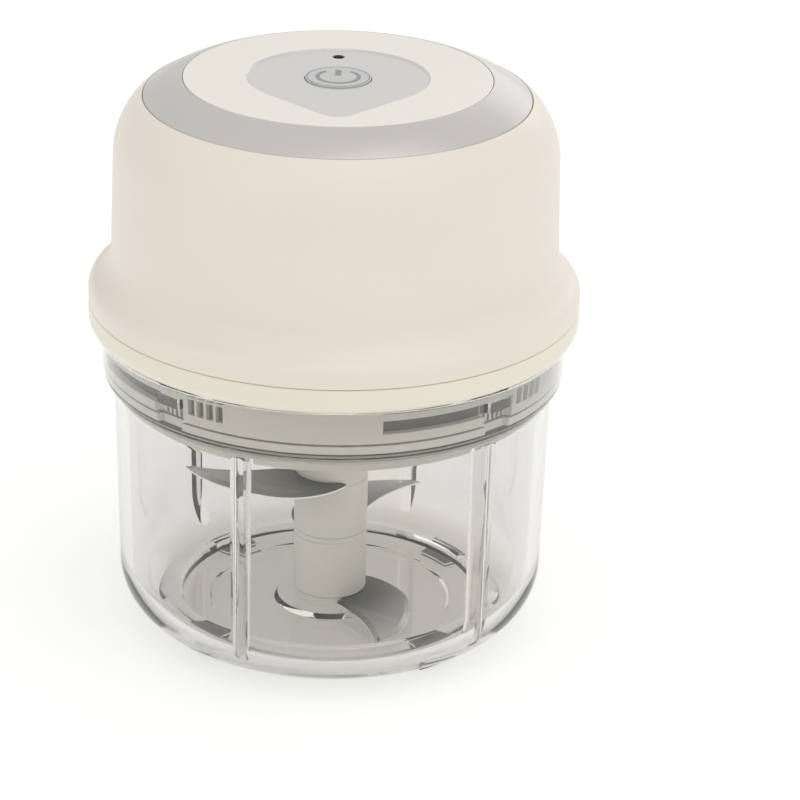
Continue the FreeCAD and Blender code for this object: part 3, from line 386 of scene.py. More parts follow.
def metalMaterial(name, spec):
    # ground or turned metal: fine lines, darker streaks, bright rubbed edges, and if asked painted shade that
    # darkens the metal towards the root
    material, tree, shader, place = startMaterial(name)
    turn = addNode(tree, "ShaderNodeMapping")
    setInputs(turn, {"Rotation": [math.radians(a) for a in spec.get("turn", (0, 0, 0))]})
    tree.links.new(place, turn.inputs["Vector"])
    lines = useGroup(tree, groundLines, turn.outputs["Vector"], Pitch=spec.get("pitch", 1))
    wear = useGroup(tree, edgeWear, place, Width=0.15 * mm)
    tone = blendColours(tree, spread(tree, lines.outputs["Streak"], 0, 1), spec["colour"], spec["shade"])
    # painted shade: the metal is blended to a dark tone near the upright axis
    if "rootShadeTone" in spec:
        flat = addNode(tree, "ShaderNodeVectorMath", operation="MULTIPLY")
        flat.inputs[1].default_value = (1, 1, 0)
        tree.links.new(place, flat.inputs[0])
        reach = addNode(tree, "ShaderNodeVectorMath", operation="LENGTH")
        tree.links.new(flat.outputs["Vector"], reach.inputs[0])
        near, far = spec["rootShadeReach"]
        outwards = spread(tree, reach.outputs["Value"], 0, 1, near * mm, far * mm)
        tone = blendColours(tree, outwards, spec["rootShadeTone"], tone)
    edged = blendColours(tree, wear.outputs["Mask"], tone, spec.get("edge", (0.9, 0.9, 0.9)))
    tree.links.new(edged, shader.inputs["Base Color"])
    tree.links.new(spread(tree, lines.outputs["Height"], *spec["roughness"]), shader.inputs["Roughness"])
    relief = bumpNode(tree, lines.outputs["Height"], spec.get("bump", 0.12), 0.01)
    tree.links.new(relief, shader.inputs["Normal"])
    setInputs(shader, {"Metallic": 1})
    return material


def clearMaterial(name, spec):
    # clear moulded plastic: a faint haze, a weak tint, flow ripples from the mould
    material, tree, shader, place = startMaterial(name)
    skin = useGroup(tree, mouldSkin, place, Grain=120)
    tone = blendColours(tree, spread(tree, skin.outputs["Cloud"], 0, 1), spec["colour"], spec["shade"])
    # painted shade: the floor and the lowest part of the cup are tinted darker than the walls, standing in
    # for the shade under the cup
    axes = addNode(tree, "ShaderNodeSeparateXYZ")
    tree.links.new(place, axes.inputs[0])
    low, high = spec["floorShadeBelow"]
    aboveFloorShade = spread(tree, axes.outputs["Z"], 0, 1, low * mm, high * mm)
    tree.links.new(blendColours(tree, aboveFloorShade, spec["floorShadeColour"], tone), shader.inputs["Base Color"])
    tree.links.new(spread(tree, skin.outputs["Haze"], *spec["roughness"]), shader.inputs["Roughness"])
    tree.links.new(bumpNode(tree, skin.outputs["Cloud"], 0.02, 0.2), shader.inputs["Normal"])
    setInputs(shader, {"IOR": spec["ior"], "Transmission Weight": 1})
    # rays from lamps pass through, so that what stands inside is lit
    rays = addNode(tree, "ShaderNodeLightPath")
    passing = addNode(tree, "ShaderNodeBsdfTransparent")
    setInputs(passing, {"Color": (*spec["passing"], 1)})
    either = addNode(tree, "ShaderNodeMixShader")
    tree.links.new(rays.outputs["Is Shadow Ray"], either.inputs["Fac"])
    tree.links.new(shader.outputs[0], either.inputs[1])
    tree.links.new(passing.outputs[0], either.inputs[2])
    output = next(item for item in tree.nodes if item.type == "OUTPUT_MATERIAL")
    tree.links.new(either.outputs[0], output.inputs["Surface"])
    return material


finishes = {
    "cream": {"colour": (0.80, 0.735, 0.66), "shade": (0.78, 0.715, 0.645), "edge": (0.86, 0.83, 0.77),
              "roughness": (0.3, 0.4), "grain": 800, "bump": 0.05, "glow": 0.08, "ior": 1.36, "wear": 0.2},
    "plate": {"colour": (0.82, 0.79, 0.725), "shade": (0.81, 0.775, 0.715), "roughness": (0.24, 0.32),
              "bump": 0.02, "glow": 0.05, "coat": 0.2, "wear": 0.02},
    "silver": {"colour": (0.58, 0.56, 0.535), "shade": (0.55, 0.53, 0.51), "edge": (0.8, 0.8, 0.8),
               "roughness": (0.32, 0.4), "grain": 1600, "bump": 0.04, "metallic": 0.25, "coat": 0.2,
               "wear": 0.1},
    "warmGrey": {"colour": (0.87, 0.86, 0.795), "shade": (0.85, 0.84, 0.78), "roughness": (0.4, 0.5),
                 "grain": 700, "bump": 0.03, "glow": 0.05, "wear": 0.1},
    "ivory": {"colour": (0.795, 0.755, 0.645), "shade": (0.78, 0.74, 0.63), "edge": (0.86, 0.85, 0.76),
              "roughness": (0.3, 0.4), "grain": 800, "bump": 0.05, "glow": 0.08, "ior": 1.36, "wear": 0.2},
    # painted shade: a dark grey for the floors and ends of the channels and windows, where shadow falls
    "grooveShadeGrey": {"colour": (0.24, 0.23, 0.215), "shade": (0.21, 0.2, 0.19), "roughness": (0.5, 0.6),
                   "grain": 700, "bump": 0.07, "edge": (0.35, 0.34, 0.33)},
    "silicone": {"colour": (0.76, 0.75, 0.70), "shade": (0.72, 0.71, 0.67), "roughness": (0.5, 0.6),
                 "grain": 500, "bump": 0.05, "glow": 0.2, "wear": 0.1},
    "blackRubber": {"colour": (0.012, 0.012, 0.013), "shade": (0.02, 0.02, 0.02),
                    "edge": (0.06, 0.06, 0.06), "roughness": (0.6, 0.75), "grain": 600, "bump": 0.2},
    "acetal": {"colour": (0.82, 0.81, 0.76), "shade": (0.78, 0.77, 0.72), "roughness": (0.3, 0.4),
               "grain": 600, "bump": 0.05, "glow": 0.25},
    "nylon": {"colour": (0.025, 0.025, 0.028), "shade": (0.04, 0.04, 0.042), "edge": (0.12, 0.12, 0.12),
              "roughness": (0.4, 0.55), "bump": 0.15},
    "carbon": {"colour": (0.02, 0.02, 0.02), "shade": (0.035, 0.033, 0.03), "roughness": (0.6, 0.8),
               "grain": 2500, "bump": 0.3, "edge": (0.1, 0.1, 0.1)},
    "mark": {"colour": (0.22, 0.225, 0.26), "shade": (0.26, 0.265, 0.30), "roughness": (0.35, 0.45),
             "bump": 0.03, "wear": 0.1},
    "lens": {"colour": (0.003, 0.003, 0.003), "shade": (0.006, 0.005, 0.005), "edge": (0.02, 0.02, 0.02),
             "roughness": (0.3, 0.4), "bump": 0.0, "ior": 1.15, "wear": 0.0},
    # painted shade: a greyer tone for the sunken dish in the top plate
    "dishShadeGrey": {"colour": (0.63, 0.60, 0.585), "shade": (0.605, 0.595, 0.575), "roughness": (0.24, 0.32),
                 "bump": 0.02, "coat": 0.2, "wear": 0.0},
    "buttonGrey": {"colour": (0.53, 0.525, 0.51), "shade": (0.515, 0.52, 0.505), "roughness": (0.24, 0.32),
                   "bump": 0.02, "coat": 0.2, "wear": 0.05},
}
metals = {
    # the blade's dark tone near the hub is painted shade
    "blade": {"colour": (0.62, 0.62, 0.605), "shade": (0.58, 0.58, 0.565), "roughness": (0.24, 0.28),
              "bump": 0, "turn": (0, 0, 25), "rootShadeTone": (0.1, 0.1, 0.085), "rootShadeReach": (8, 25)},
    # painted highlight: a near-white steel for the blades' cut edges
    "bladeEdgeHighlight": {"colour": (0.95, 0.95, 0.94), "shade": (0.9, 0.9, 0.89), "roughness": (0.3, 0.36),
                  "bump": 0},
    "pin": {"colour": (0.68, 0.68, 0.68), "shade": (0.58, 0.58, 0.58), "roughness": (0.12, 0.2),
            "turn": (0, 90, 0)},
    "zinc": {"colour": (0.55, 0.55, 0.53), "shade": (0.44, 0.44, 0.43), "roughness": (0.28, 0.42)},
    "can": {"colour": (0.56, 0.56, 0.55), "shade": (0.48, 0.48, 0.47), "roughness": (0.25, 0.38),
            "turn": (0, 90, 0)},
    "lamination": {"colour": (0.22, 0.215, 0.21), "shade": (0.14, 0.135, 0.13), "roughness": (0.4, 0.6),
                   "pitch": 3, "bump": 0.5, "edge": (0.4, 0.4, 0.4)},
    "ferrite": {"colour": (0.12, 0.12, 0.125), "shade": (0.08, 0.08, 0.085), "roughness": (0.55, 0.75),
                "edge": (0.2, 0.2, 0.2)},
    "copper": {"colour": (0.72, 0.32, 0.16), "shade": (0.55, 0.22, 0.1), "roughness": (0.2, 0.4),
               "pitch": 2, "bump": 0.7, "edge": (0.85, 0.5, 0.3)},
    "bronze": {"colour": (0.55, 0.38, 0.2), "shade": (0.42, 0.29, 0.15), "roughness": (0.35, 0.55),
               "bump": 0.4},
}
surface = {name: plasticMaterial(name, spec) for name, spec in finishes.items()}
surface.update({name: metalMaterial(name, spec) for name, spec in metals.items()})
# the darker floor tint is painted shade
surface["clearCup"] = clearMaterial("clearCup", {
    "colour": (0.84, 0.84, 0.835), "shade": (0.85, 0.835, 0.815), "roughness": (0.0, 0.03), "ior": 1.46,
    "floorShadeColour": (0.67, 0.66, 0.625), "floorShadeBelow": (3.6, 6), "passing": (0.99, 0.99, 0.98)})


def boardMaterial():
    # green solder mask with copper tracks showing through as raised lines
    board, tree, shader, place = startMaterial("circuitBoard")
    brick = addNode(tree, "ShaderNodeTexBrick", offset=0.37, squash=1.6)
    setInputs(brick, {"Scale": 330, "Mortar Size": 0.06, "Mortar Smooth": 0.2, "Brick Width": 1.3})
    tree.links.new(place, brick.inputs["Vector"])
    skin = useGroup(tree, mouldSkin, place, Grain=1500)
    tracks = blendColours(tree, brick.outputs["Fac"], (0.01, 0.09, 0.035), (0.03, 0.2, 0.08))
    tree.links.new(tracks, shader.inputs["Base Color"])
    tree.links.new(spread(tree, skin.outputs["Haze"], 0.2, 0.35), shader.inputs["Roughness"])
    tree.links.new(bumpNode(tree, brick.outputs["Fac"], 0.4, 0.05), shader.inputs["Normal"])
    return board


def cellMaterial():
    # blue shrink wrap drawn tight on the cell, with fine shrink creases
    wrap, tree, shader, place = startMaterial("cellWrap")
    crease = noiseNode(tree, stretched(tree, place, (420, 420, 60)), 1, 4, 0.6)
    skin = useGroup(tree, mouldSkin, place, Grain=900)
    cloud = spread(tree, skin.outputs["Cloud"], 0, 1)
    tone = blendColours(tree, cloud, (0.03, 0.13, 0.3), (0.04, 0.16, 0.35))
    tree.links.new(tone, shader.inputs["Base Color"])
    tree.links.new(spread(tree, crease, 0.15, 0.3), shader.inputs["Roughness"])
    tree.links.new(bumpNode(tree, crease, 0.3, 0.05), shader.inputs["Normal"])
    return wrap


surface["circuitBoard"] = boardMaterial()
surface["cellWrap"] = cellMaterial()
print("materials made")


# cutters reach this far past a face, and joined pieces run this far into each other
past = 1
into = 0.5


# the cup

cup = {
    "footHeight": 0.5, "baseRadius": 26.5, "baseFlat": 22.5, "cornerArc": 10.95, "cornerHeight": 11.45,
    "lowRadius": 37.4, "lowHeight": 12, "highRadius": 38.2, "shoulder": 44.6, "wall": 2.2, "ledge": 47,
    "rimLow": 40, "rimHigh": 41, "rimTop": 55.2, "rimBore": 38.2, "lip": 0.4, "soft": 0.2, "draft": 0.03,
    "floor": 3, "step": 5.2, "stepRound": 0.4, "floorRadius": 26.4, "innerTurn": -62, "dishRadius": 21.5,
    "dishDepth": 0.4, "bossRadius": 9.3, "bossFoot": 9.9, "bossTop": 3.4,
    "ribAngles": (64.5, 136.5, 244.5, 316.5), "ribWidth": 2.4, "ribRadii": (32.4, 37), "ribHeights": (4, 44),
    "ribRound": 0.7, "ribLimit": (37.4, 45), "limitBase": 2, "lugAngles": (45.5, 135.5, 225.5, 315.5),
    "lugHalf": 3.5, "lugs": (51, 52.8), "lugRadius": 36.7, "lugRoot": 39, "footStart": -147,
    "footSweep": 15, "footRadii": (25.5, 29.4), "footRound": 0.25, "footPocket": 1.3, "pocketOuter": 32,
    "footSlack": 0.05, "slackAngle": 0.2, "pinRadius": 2.01, "pinBase": 1.4,
}


def cupProfile(c, corner):
    # rows of points just beside each bend keep the long walls flat in shading
    wallHigh = c["highRadius"] - c["wall"]
    wallLow = c["lowRadius"] - c["wall"]
    innerArc = c["cornerArc"] - c["wall"]
    draft, soft, lip = c["draft"], c["soft"], c["lip"]
    floorEdge = c["floor"] - c["dishDepth"]
    profile = [(0, c["footHeight"]), (c["baseFlat"], c["footHeight"])] + corner
    profile += [(c["lowRadius"] + draft, c["lowHeight"] + 1), (c["highRadius"] - 0.01, c["shoulder"] - 0.8),
                (c["highRadius"], c["shoulder"]), (c["highRadius"] + soft, c["shoulder"] + 0.5),
                (c["rimLow"] - soft, c["ledge"] - soft), (c["rimLow"], c["ledge"] + 0.3),
                (c["rimHigh"] - 2 * draft, c["rimTop"] - 0.9)]
    profile += arc((c["rimHigh"] - lip, c["rimTop"] - lip), lip, 0, 90, 5)
    profile += arc((c["rimBore"] + lip, c["rimTop"] - lip), lip, 90, 180, 5)
    profile += [(c["rimBore"], c["ledge"]), (wallHigh + lip, c["ledge"]), (wallHigh, c["ledge"] - lip),
                (wallHigh - draft, c["ledge"] - 1.2), (wallLow + draft, c["lowHeight"] + 1)]
    profile += arc((wallLow - innerArc, c["lowHeight"]), innerArc, 0, c["innerTurn"], 10)
    profile += [(c["floorRadius"] + 1.4, c["step"] - 0.25), (c["floorRadius"] + 0.5, c["step"]),
                (c["floorRadius"], c["step"] - c["stepRound"]), (c["floorRadius"], c["floor"]),
                (c["dishRadius"], c["floor"]), (c["dishRadius"] - c["dishDepth"], floorEdge),
                (c["bossFoot"], floorEdge), (c["bossRadius"], c["bossTop"]), (c["pinRadius"], c["bossTop"]),
                (c["pinRadius"], c["pinBase"]), (0, c["pinBase"])]
    return profile


def makeCup(c):
    corner = arc((c["baseRadius"], c["cornerHeight"]), c["cornerArc"], -90, 0, 14)
    piece = lathe("cupShell", cupProfile(c, corner), closed=False, steps=192)
    base, (outer, top) = c["limitBase"], c["ribLimit"]
    limit = lathe("ribLimit", [(0, base)] + [p for p in corner if p[1] > base] + [(outer, top), (0, top)],
                  closed=False, steps=96)
    half = c["ribWidth"] / 2
    ribs = []
    for angle in c["ribAngles"]:
        rib = slab("rib", c["ribRadii"], (-half, half), c["ribHeights"], angle)
        softEdges(rib, c["ribRound"], 4)
        trimmer = limit.copy()
        trimmer.data = limit.data.copy()
        bpy.context.scene.collection.objects.link(trimmer)
        carve(rib, [trimmer], "INTERSECT")
        ribs.append(rib)
    bpy.data.objects.remove(limit)
    lugs = [arcBlock("lug", (c["lugRadius"], c["lugRoot"]), c["lugs"], angle - c["lugHalf"],
                     2 * c["lugHalf"], 8) for angle in c["lugAngles"]]
    carve(piece, ribs + lugs, "UNION")
    slack, spare = c["footSlack"], c["slackAngle"]
    starts = [c["footStart"] + 90 * k for k in range(4)]
    carve(piece, [arcBlock("footPocket", (c["footRadii"][0] - slack, c["pocketOuter"]),
                           (-past, c["footPocket"]), start - spare, c["footSweep"] + 2 * spare, 8)
                  for start in starts])
    finish(piece, surface["clearCup"], "cup", ["cup"], 40)
    for k, start in enumerate(starts):
        foot = arcBlock(f"rubberFoot{k + 1}", c["footRadii"], (0, c["footPocket"] - slack), start,
                        c["footSweep"], 12)
        softEdges(foot, c["footRound"])
        finish(foot, surface["blackRubber"], "cup", ["rubber_feet"])


makeCup(cup)


# blades and hub: a crescent is drawn along X from tip to root, then turned to its angle

blade = {
    "tip": (26, 0), "shoulder": (11.96, 10.92), "heel": (2.8, 10.9), "tail": (-3.4, 5), "root": (7.1, -0.9),
    "backArc": 24, "shoulderArc": 11.5, "heelArc": 12, "edgeArc": -25, "thick": 0.9, "edge": 0.3,
    "ground": 0.8, "round": 0.05, "ring": 6.4, "bore": 4.21,
    "heights": {"lower": 4.1, "middle": 15.75, "upper": 26.75},
    "angles": {"lower": -72, "middle": 50, "upper": 178},
}


def makeBlade(which, b):
    outline = bend(b["tip"], b["shoulder"], b["backArc"], 12)
    outline += bend(b["shoulder"], b["heel"], b["shoulderArc"], 10)
    outline += bend(b["heel"], b["tail"], b["heelArc"], 6)
    outline += bend(b["root"], b["tip"], b["edgeArc"], 14)
    turn = math.radians(b["angles"][which])
    low = b["heights"][which]
    high = low + b["thick"]
    points = [(x * math.cos(turn) - y * math.sin(turn), x * math.sin(turn) + y * math.cos(turn), low)
              for x, y in outline]
    pairs = zip(points, points[-1:] + points[:-1])
    points = [here for here, before in pairs if math.dist(here, before) > 0.01]
    piece = drawLine(which + "Blade", points, True)
    bpy.ops.mesh.edge_face_add()
    bpy.ops.mesh.extrude_region_move(TRANSFORM_OT_translate={"value": (0, 0, b["edge"] * mm)})
    bpy.ops.mesh.inset(thickness=b["ground"] * mm, depth=0)
    bpy.ops.transform.translate(value=(0, 0, (b["thick"] - b["edge"]) * mm))
    setMode("OBJECT")
    tidyMesh(piece)
    carve(piece, [lathe("clampRing", oblong((b["bore"], b["ring"]), (low, high)), steps=64)], "UNION")
    carve(piece, [post("coreHole", b["bore"], (low - past, low + 2 * past))])
    softEdges(piece, b["round"], 2, 20)
    tidyMesh(piece)
    finish(piece, surface["blade"], "blade_unit", [which + "_blade"], 25)
    # the side faces get a painted highlight, a bright steel standing in for light glinting on the cut edges,
    # and the ring is in the hub's own grey
    piece.data.materials.append(surface["bladeEdgeHighlight"])
    piece.data.materials.append(surface["warmGrey"])
    for face in piece.data.polygons:
        onRing = face.center.xy.length < (b["ring"] + 0.1) * mm
        if abs(face.normal.z) < 0.4:
            face.material_index = 2 if onRing else 1


for which in ("lower", "middle", "upper"):
    makeBlade(which, blade)

hub = {"radius": 6.5, "bore": 4.21, "core": 4.2, "coreTop": 34, "base": 3.7, "flange": 4.1, "round": 0.25,
       "coreRound": 0.1, "neck": (1, 2.2), "bossRadius": 6, "bossTop": 49.5, "dogTop": 53, "dogs": (2.2, 5.8),
       "dogSweep": 30, "pinBore": 2.05, "pinTop": 25, "play": 0.01}


def makeHub(h, b):
    lower, middle, upper = (b["heights"][name] for name in ("lower", "middle", "upper"))
    thick, grey = b["thick"], surface["warmGrey"]
    bore, radius, core, top = h["bore"], h["radius"], h["core"], h["coreTop"]
    for name, low, high, node in (("lowerSleeve", lower + thick, middle, "lower_sleeve"),
                                  ("upperSleeve", middle + thick, upper, "upper_sleeve")):
        sleeve = lathe(name, oblong((bore, radius), (low, high)), steps=96)
        softEdges(sleeve, h["round"])
        finish(sleeve, grey, "blade_unit", [node])
    spindle = lathe("bladeSpindle", [(h["pinBore"], h["base"]), (radius, h["base"]), (radius, h["flange"]),
                                     (core, h["flange"]), (core, top), (0, top), (0, h["pinTop"]),
                                     (h["pinBore"], h["pinTop"])], steps=96)
    softEdges(spindle, h["coreRound"])
    finish(spindle, grey, "blade_unit", ["blade_spindle"])
    foot = upper + thick
    neckLow, neckHigh = foot + h["neck"][0], foot + h["neck"][1]
    seat = top + h["play"]
    boss = lathe("driveBoss", [(bore, foot), (radius, foot), (radius, neckLow), (h["bossRadius"], neckHigh),
                               (h["bossRadius"], h["bossTop"]), (0, h["bossTop"]), (0, seat), (bore, seat)],
                 steps=96)
    half = h["dogSweep"] / 2
    carve(boss, [arcBlock("dog", h["dogs"], (h["bossTop"] - into, h["dogTop"]), angle - half,
                          h["dogSweep"], 10) for angle in (0, 120, 240)], "UNION")
    softEdges(boss, h["round"])
    tidyMesh(boss)
    finish(boss, grey, "blade_unit", ["drive_boss"])


makeHub(hub, blade)


# lid and seal under the head

lid = {"bore": 7.4, "collarDrop": 1.2, "collar": (8.7, 9), "base": 47.2, "top": 48.6, "radius": 37.9,
       "skirt": (31.4, 33), "skirtBottom": 42, "round": 0.3, "slotHalf": 1.6, "slotTop": 44.3,
       "notchRadius": 36.4, "notchHalf": 2.8, "tab": (29, 31), "tabStart": -12, "tabSweep": 6,
       "tabTop": 49.8, "seal": (33.01, 35.5), "sealBottom": 45.29, "sealGap": 0.01, "sealRound": 0.15,
       "grooves": (0.9, 0.8, 0.6)}


def makeLid(s, c):
    base, top, bore, outer = s["base"], s["top"], s["bore"], s["radius"]
    skirtIn, skirtOut = s["skirt"]
    hang, bottom = base - s["collarDrop"], s["skirtBottom"]
    piece = lathe("innerLid", [(bore, hang), (s["collar"][0], hang), (s["collar"][1], base), (skirtIn, base),
                               (skirtIn, bottom), (skirtOut, bottom), (skirtOut, base), (outer, base),
                               (outer, top), (bore, top)], steps=192)
    half, notch = s["slotHalf"], s["notchHalf"]
    tools = [slab("ribSlot", (skirtIn - past, skirtOut + past), (-half, half), (bottom - past, s["slotTop"]),
                  angle) for angle in c["ribAngles"]]
    tools += [slab("lugNotch", (s["notchRadius"], outer + past), (-notch, notch), (base - past, top + past),
                   angle) for angle in c["lugAngles"]]
    carve(piece, tools)
    carve(piece, [arcBlock("interlockTab", s["tab"], (top - into, s["tabTop"]), s["tabStart"],
                           s["tabSweep"], 8)], "UNION")
    softEdges(piece, s["round"])
    tidyMesh(piece)
    finish(piece, surface["warmGrey"], "lid", ["inner_lid"])
    # three soft lips round the seal
    low, high = s["sealBottom"], base - s["sealGap"]
    lip = (high - low) / 4
    inner, rim = s["seal"]
    first, second, third = s["grooves"]
    ring = lathe("lidSeal", [(inner, low), (rim - first, low), (rim, low + lip),
                             (rim - second, low + 2 * lip), (rim, low + 3 * lip), (rim - third, high),
                             (inner, high)], steps=192)
    softEdges(ring, s["sealRound"])
    finish(ring, surface["silicone"], "lid", ["lid_seal"])


makeLid(lid, cup)
print("cup side done")


# the head: base cover, cream shells, trim ring and top plate

head = {
    "plate": (49, 51), "bore": 9, "collar": (33.9, 37.9), "collarTop": 57, "well": (14.05, 15.6),
    "wellFloor": 53.8, "wellTop": 61.4, "sealPocket": 10.4, "round": 0.15, "channel": (50.7, 53.1),
    "channelRadius": 36.3, "channelLead": 33, "channelSweep": 38, "entryHalf": 5, "windowRadius": 36.9,
    "windowTop": 53.6, "windowLead": 6.5, "windowSweep": 11, "windows": 4, "barSweep": 0.75,
    "screwCircle": 30.4, "screwAngles": (60, 120, 240, 300), "screwRadius": 1.4, "screwHead": 2.8,
    "screwSink": 1, "track": (28.4, 31.6), "trackStart": -43, "trackSweep": 40, "trackDepth": 1.2,
    "keyCircle": 30, "keyAngle": -37, "keyRadius": 1.1,
}


def baseCoverTools(s, c):
    low, high = s["plate"]
    outer = s["collar"][1] + past
    channelLow, channelTop = s["channel"]
    through = (low - past, high + past)
    bay = s["windowSweep"] / s["windows"]
    tools = []
    for lug in c["lugAngles"]:
        tools.append(arcBlock("channel", (s["channelRadius"], outer), s["channel"], lug - s["channelLead"],
                              s["channelSweep"]))
        tools.append(arcBlock("entry", (s["channelRadius"], outer), (low - past, channelTop),
                              lug - s["entryHalf"], 2 * s["entryHalf"], 12))
        for k in range(s["windows"]):
            tools.append(arcBlock("window", (s["windowRadius"], outer), (channelLow, s["windowTop"]),
                                  lug + s["windowLead"] + k * bay, bay - s["barSweep"], 4))
    for angle in s["screwAngles"]:
        x, y = atAngle(s["screwCircle"], angle)
        tools.append(post("screwHole", s["screwRadius"], through, x, y))
        tools.append(post("screwSink", s["screwHead"], (low - past, low + s["screwSink"]), x, y))
    tools.append(arcBlock("track", s["track"], (low - past, low + s["trackDepth"]), s["trackStart"],
                          s["trackSweep"]))
    tools.append(post("keyHole", s["keyRadius"], through, *atAngle(s["keyCircle"], s["keyAngle"])))
    return tools


def makeBaseCover(s, c):
    low, high = s["plate"]
    collarIn, collarOut = s["collar"]
    wellIn, wellOut = s["well"]
    piece = lathe("baseCover", [(s["bore"], low), (collarOut, low), (collarOut, s["collarTop"]),
                                (collarIn, s["collarTop"]), (collarIn, high), (wellOut, high),
                                (wellOut, s["wellTop"]), (wellIn, s["wellTop"]), (wellIn, s["wellFloor"]),
                                (s["sealPocket"], s["wellFloor"]), (s["sealPocket"], high),
                                (s["bore"], high)], steps=192)
    carve(piece, baseCoverTools(s, c))
    softEdges(piece, s["round"], 2)
    tidyMesh(piece)
    finish(piece, surface["warmGrey"], "head", ["base_cover"])
    # the floors and ends of the channels and windows get painted shade, a dark grey standing in for the
    # shadow in the grooves
    piece.data.materials.append(surface["grooveShadeGrey"])
    for face in piece.data.polygons:
        reach = face.center.xy.length
        # painted shade goes on the upright faces sunk in the channels and windows
        inShadedGroove = reach < (s["windowRadius"] + 0.1) * mm and reach > (s["channelRadius"] - 0.1) * mm
        level = s["channel"][0] * mm < face.center.z < (s["windowTop"] + 0.05) * mm
        face.material_index = 1 if inShadedGroove and level and abs(face.normal.z) < 0.7 else 0


makeBaseCover(head, cup)

shell = {
    "ringBore": 38.25, "ringBase": 55.6, "ringFoot": 41, "ringArc": 2.2, "radius": 42.5,
    "ringShoulder": 57.6, "ringTop": 60.2, "ringInner": 36.2, "ringLedge": 57.01, "ringRound": 0.3,
    "gap": 0.1, "lipInner": 40.6, "lipTop": 62.3, "lipArc": 2.6, "waistTop": (41, 64.6), "waistArc": -6.2,
    "neck": (38.55, 68.7), "neckDrop": 2, "side": (38.08, 86.16), "crownArc": 13.8,
    "mouth": (33.35, 96.56), "seat": (33.1, 94.91), "seatInner": 31.1, "seatBase": 93.41, "ceilingRun": 0.4,
    "round": 0.18, "wall": 1.9, "socket": {"halfWidth": 8.5, "inner": 33.2, "heights": (69, 80)},
    "recess": {"halfWidth": 6.9, "inner": 36.85, "heights": (70, 78.8), "round": 1.2},
    "port": {"halfWidth": 4.87, "inner": 32.2, "heights": (72, 76.06), "round": 1.0},
    "posts": {"radius": 3, "hole": 1.05, "holeTop": 66, "heights": (51.05, 80), "web": 2, "webEnd": 0.6},
}


def makeLowerRing(s):
    profile = [(s["ringBore"], s["ringBase"])]
    profile += bend((s["ringFoot"], s["ringBase"]), (s["radius"], s["ringShoulder"]), s["ringArc"])
    profile += [(s["radius"], s["ringTop"]), (s["ringInner"], s["ringTop"]),
                (s["ringInner"], s["ringLedge"]), (s["ringBore"], s["ringLedge"])]
    ring = lathe("lowerRing", profile, steps=192)
    softEdges(ring, s["ringRound"], 4)
    finish(ring, surface["ivory"], "head", ["lower_ring"])


def casingProfile(s, inner):
    base = s["ringTop"] + s["gap"]
    neck, neckHeight = s["neck"]
    seat, seatTop = s["seat"]
    mouth, mouthTop = s["mouth"]
    ceiling = bend((inner, s["side"][1]), (mouth + s["ceilingRun"], s["seatBase"]),
                   s["crownArc"] - s["wall"], 12)
    profile = [(s["lipInner"], base), (s["radius"], base)]
    profile += bend((s["radius"], s["lipTop"]), s["waistTop"], s["lipArc"], 10)
    profile += bend(s["waistTop"], s["neck"], s["waistArc"], 14)[1:]
    profile += bend(s["side"], s["mouth"], s["crownArc"], 20)
    profile += [(seat, mouthTop), s["seat"], (s["seatInner"], seatTop), (s["seatInner"], s["seatBase"])]
    profile += ceiling[::-1]
    profile += [(neck - s["wall"], neckHeight - s["neckDrop"]), (s["lipInner"], s["lipTop"])]
    return profile


def makeCasing(s, h):
    inner = s["side"][0] - s["wall"]
    casing = lathe("upperCasing", casingProfile(s, inner), steps=256)
    softEdges(casing, s["round"], 3, 35)
    tidyMesh(casing)
    posts, pad = s["posts"], s["socket"]
    low, high = posts["heights"]
    half, wide = posts["web"] / 2, pad["halfWidth"]
    places = [atAngle(h["screwCircle"], angle) for angle in h["screwAngles"]]
    joins = []
    for angle, (x, y) in zip(h["screwAngles"], places):
        joins.append(post("screwPost", posts["radius"], posts["heights"], x, y))
        joins.append(slab("postWeb", (h["screwCircle"], inner + posts["webEnd"]), (-half, half),
                          (s["neck"][1], high), angle))
    joins.append(slab("socketPad", (-wide, wide), (pad["inner"], inner), pad["heights"]))
    carve(casing, joins, "UNION")
    tools = [post("pilot", posts["hole"], (low - past, posts["holeTop"]), x, y) for x, y in places]
    for name in ("recess", "port"):
        wide = s[name]["halfWidth"]
        tool = slab(name, (-wide, wide), (s[name]["inner"], s["radius"]), s[name]["heights"])
        softEdges(tool, s[name]["round"], 6, 60)
        tools.append(tool)
    carve(casing, tools)
    tidyMesh(casing)
    finish(casing, surface["cream"], "head", ["upper_casing"])


makeLowerRing(shell)
makeCasing(shell, head)

top = {
    "bezelOuter": 33, "bezelBase": 94.92, "bezelLow": 96.56, "bezelArc": 22, "bezelInner": 26.35,
    "bezelSeat": 98, "bezelSeatInner": 31.1, "bezelBore": 24.45, "bezelUnder": 96.8, "top": 99.8,
    "round": 0.12, "plateRadius": 26.25, "plateBase": 98, "guide": (5.75, 7.15), "guideBase": 96.2,
    "postAt": 12, "postRadius": 2, "postBase": 92.21,
    "dish": {"radius": 15.7, "nose": 21.5, "noseRadius": 3.2, "depth": 0.32, "rise": 0.06, "slope": 0.978},
    "lamp": {"at": (0, 11.9), "hole": 1.1, "radius": 1, "tip": 0.7, "heights": (93.9, 99.65),
             "flange": 2, "flangeHeights": (96.99, 97.99), "crown": (0.35, 0.08)},
    "button": {"radius": 5.6, "flange": 7, "flangeHeights": (95.1, 96.1), "top": 99.77,
               "edge": (0.12, 0.04)},
    "mark": {"sink": 0.1, "rise": 0.025, "arc": (3.15, 3.85), "gapAngle": 36, "bar": (0.5, 3.7),
             "barHalf": 0.55, "barRound": 0.2, "ring": (5.2, 5.42), "ringRise": 0.02},
}


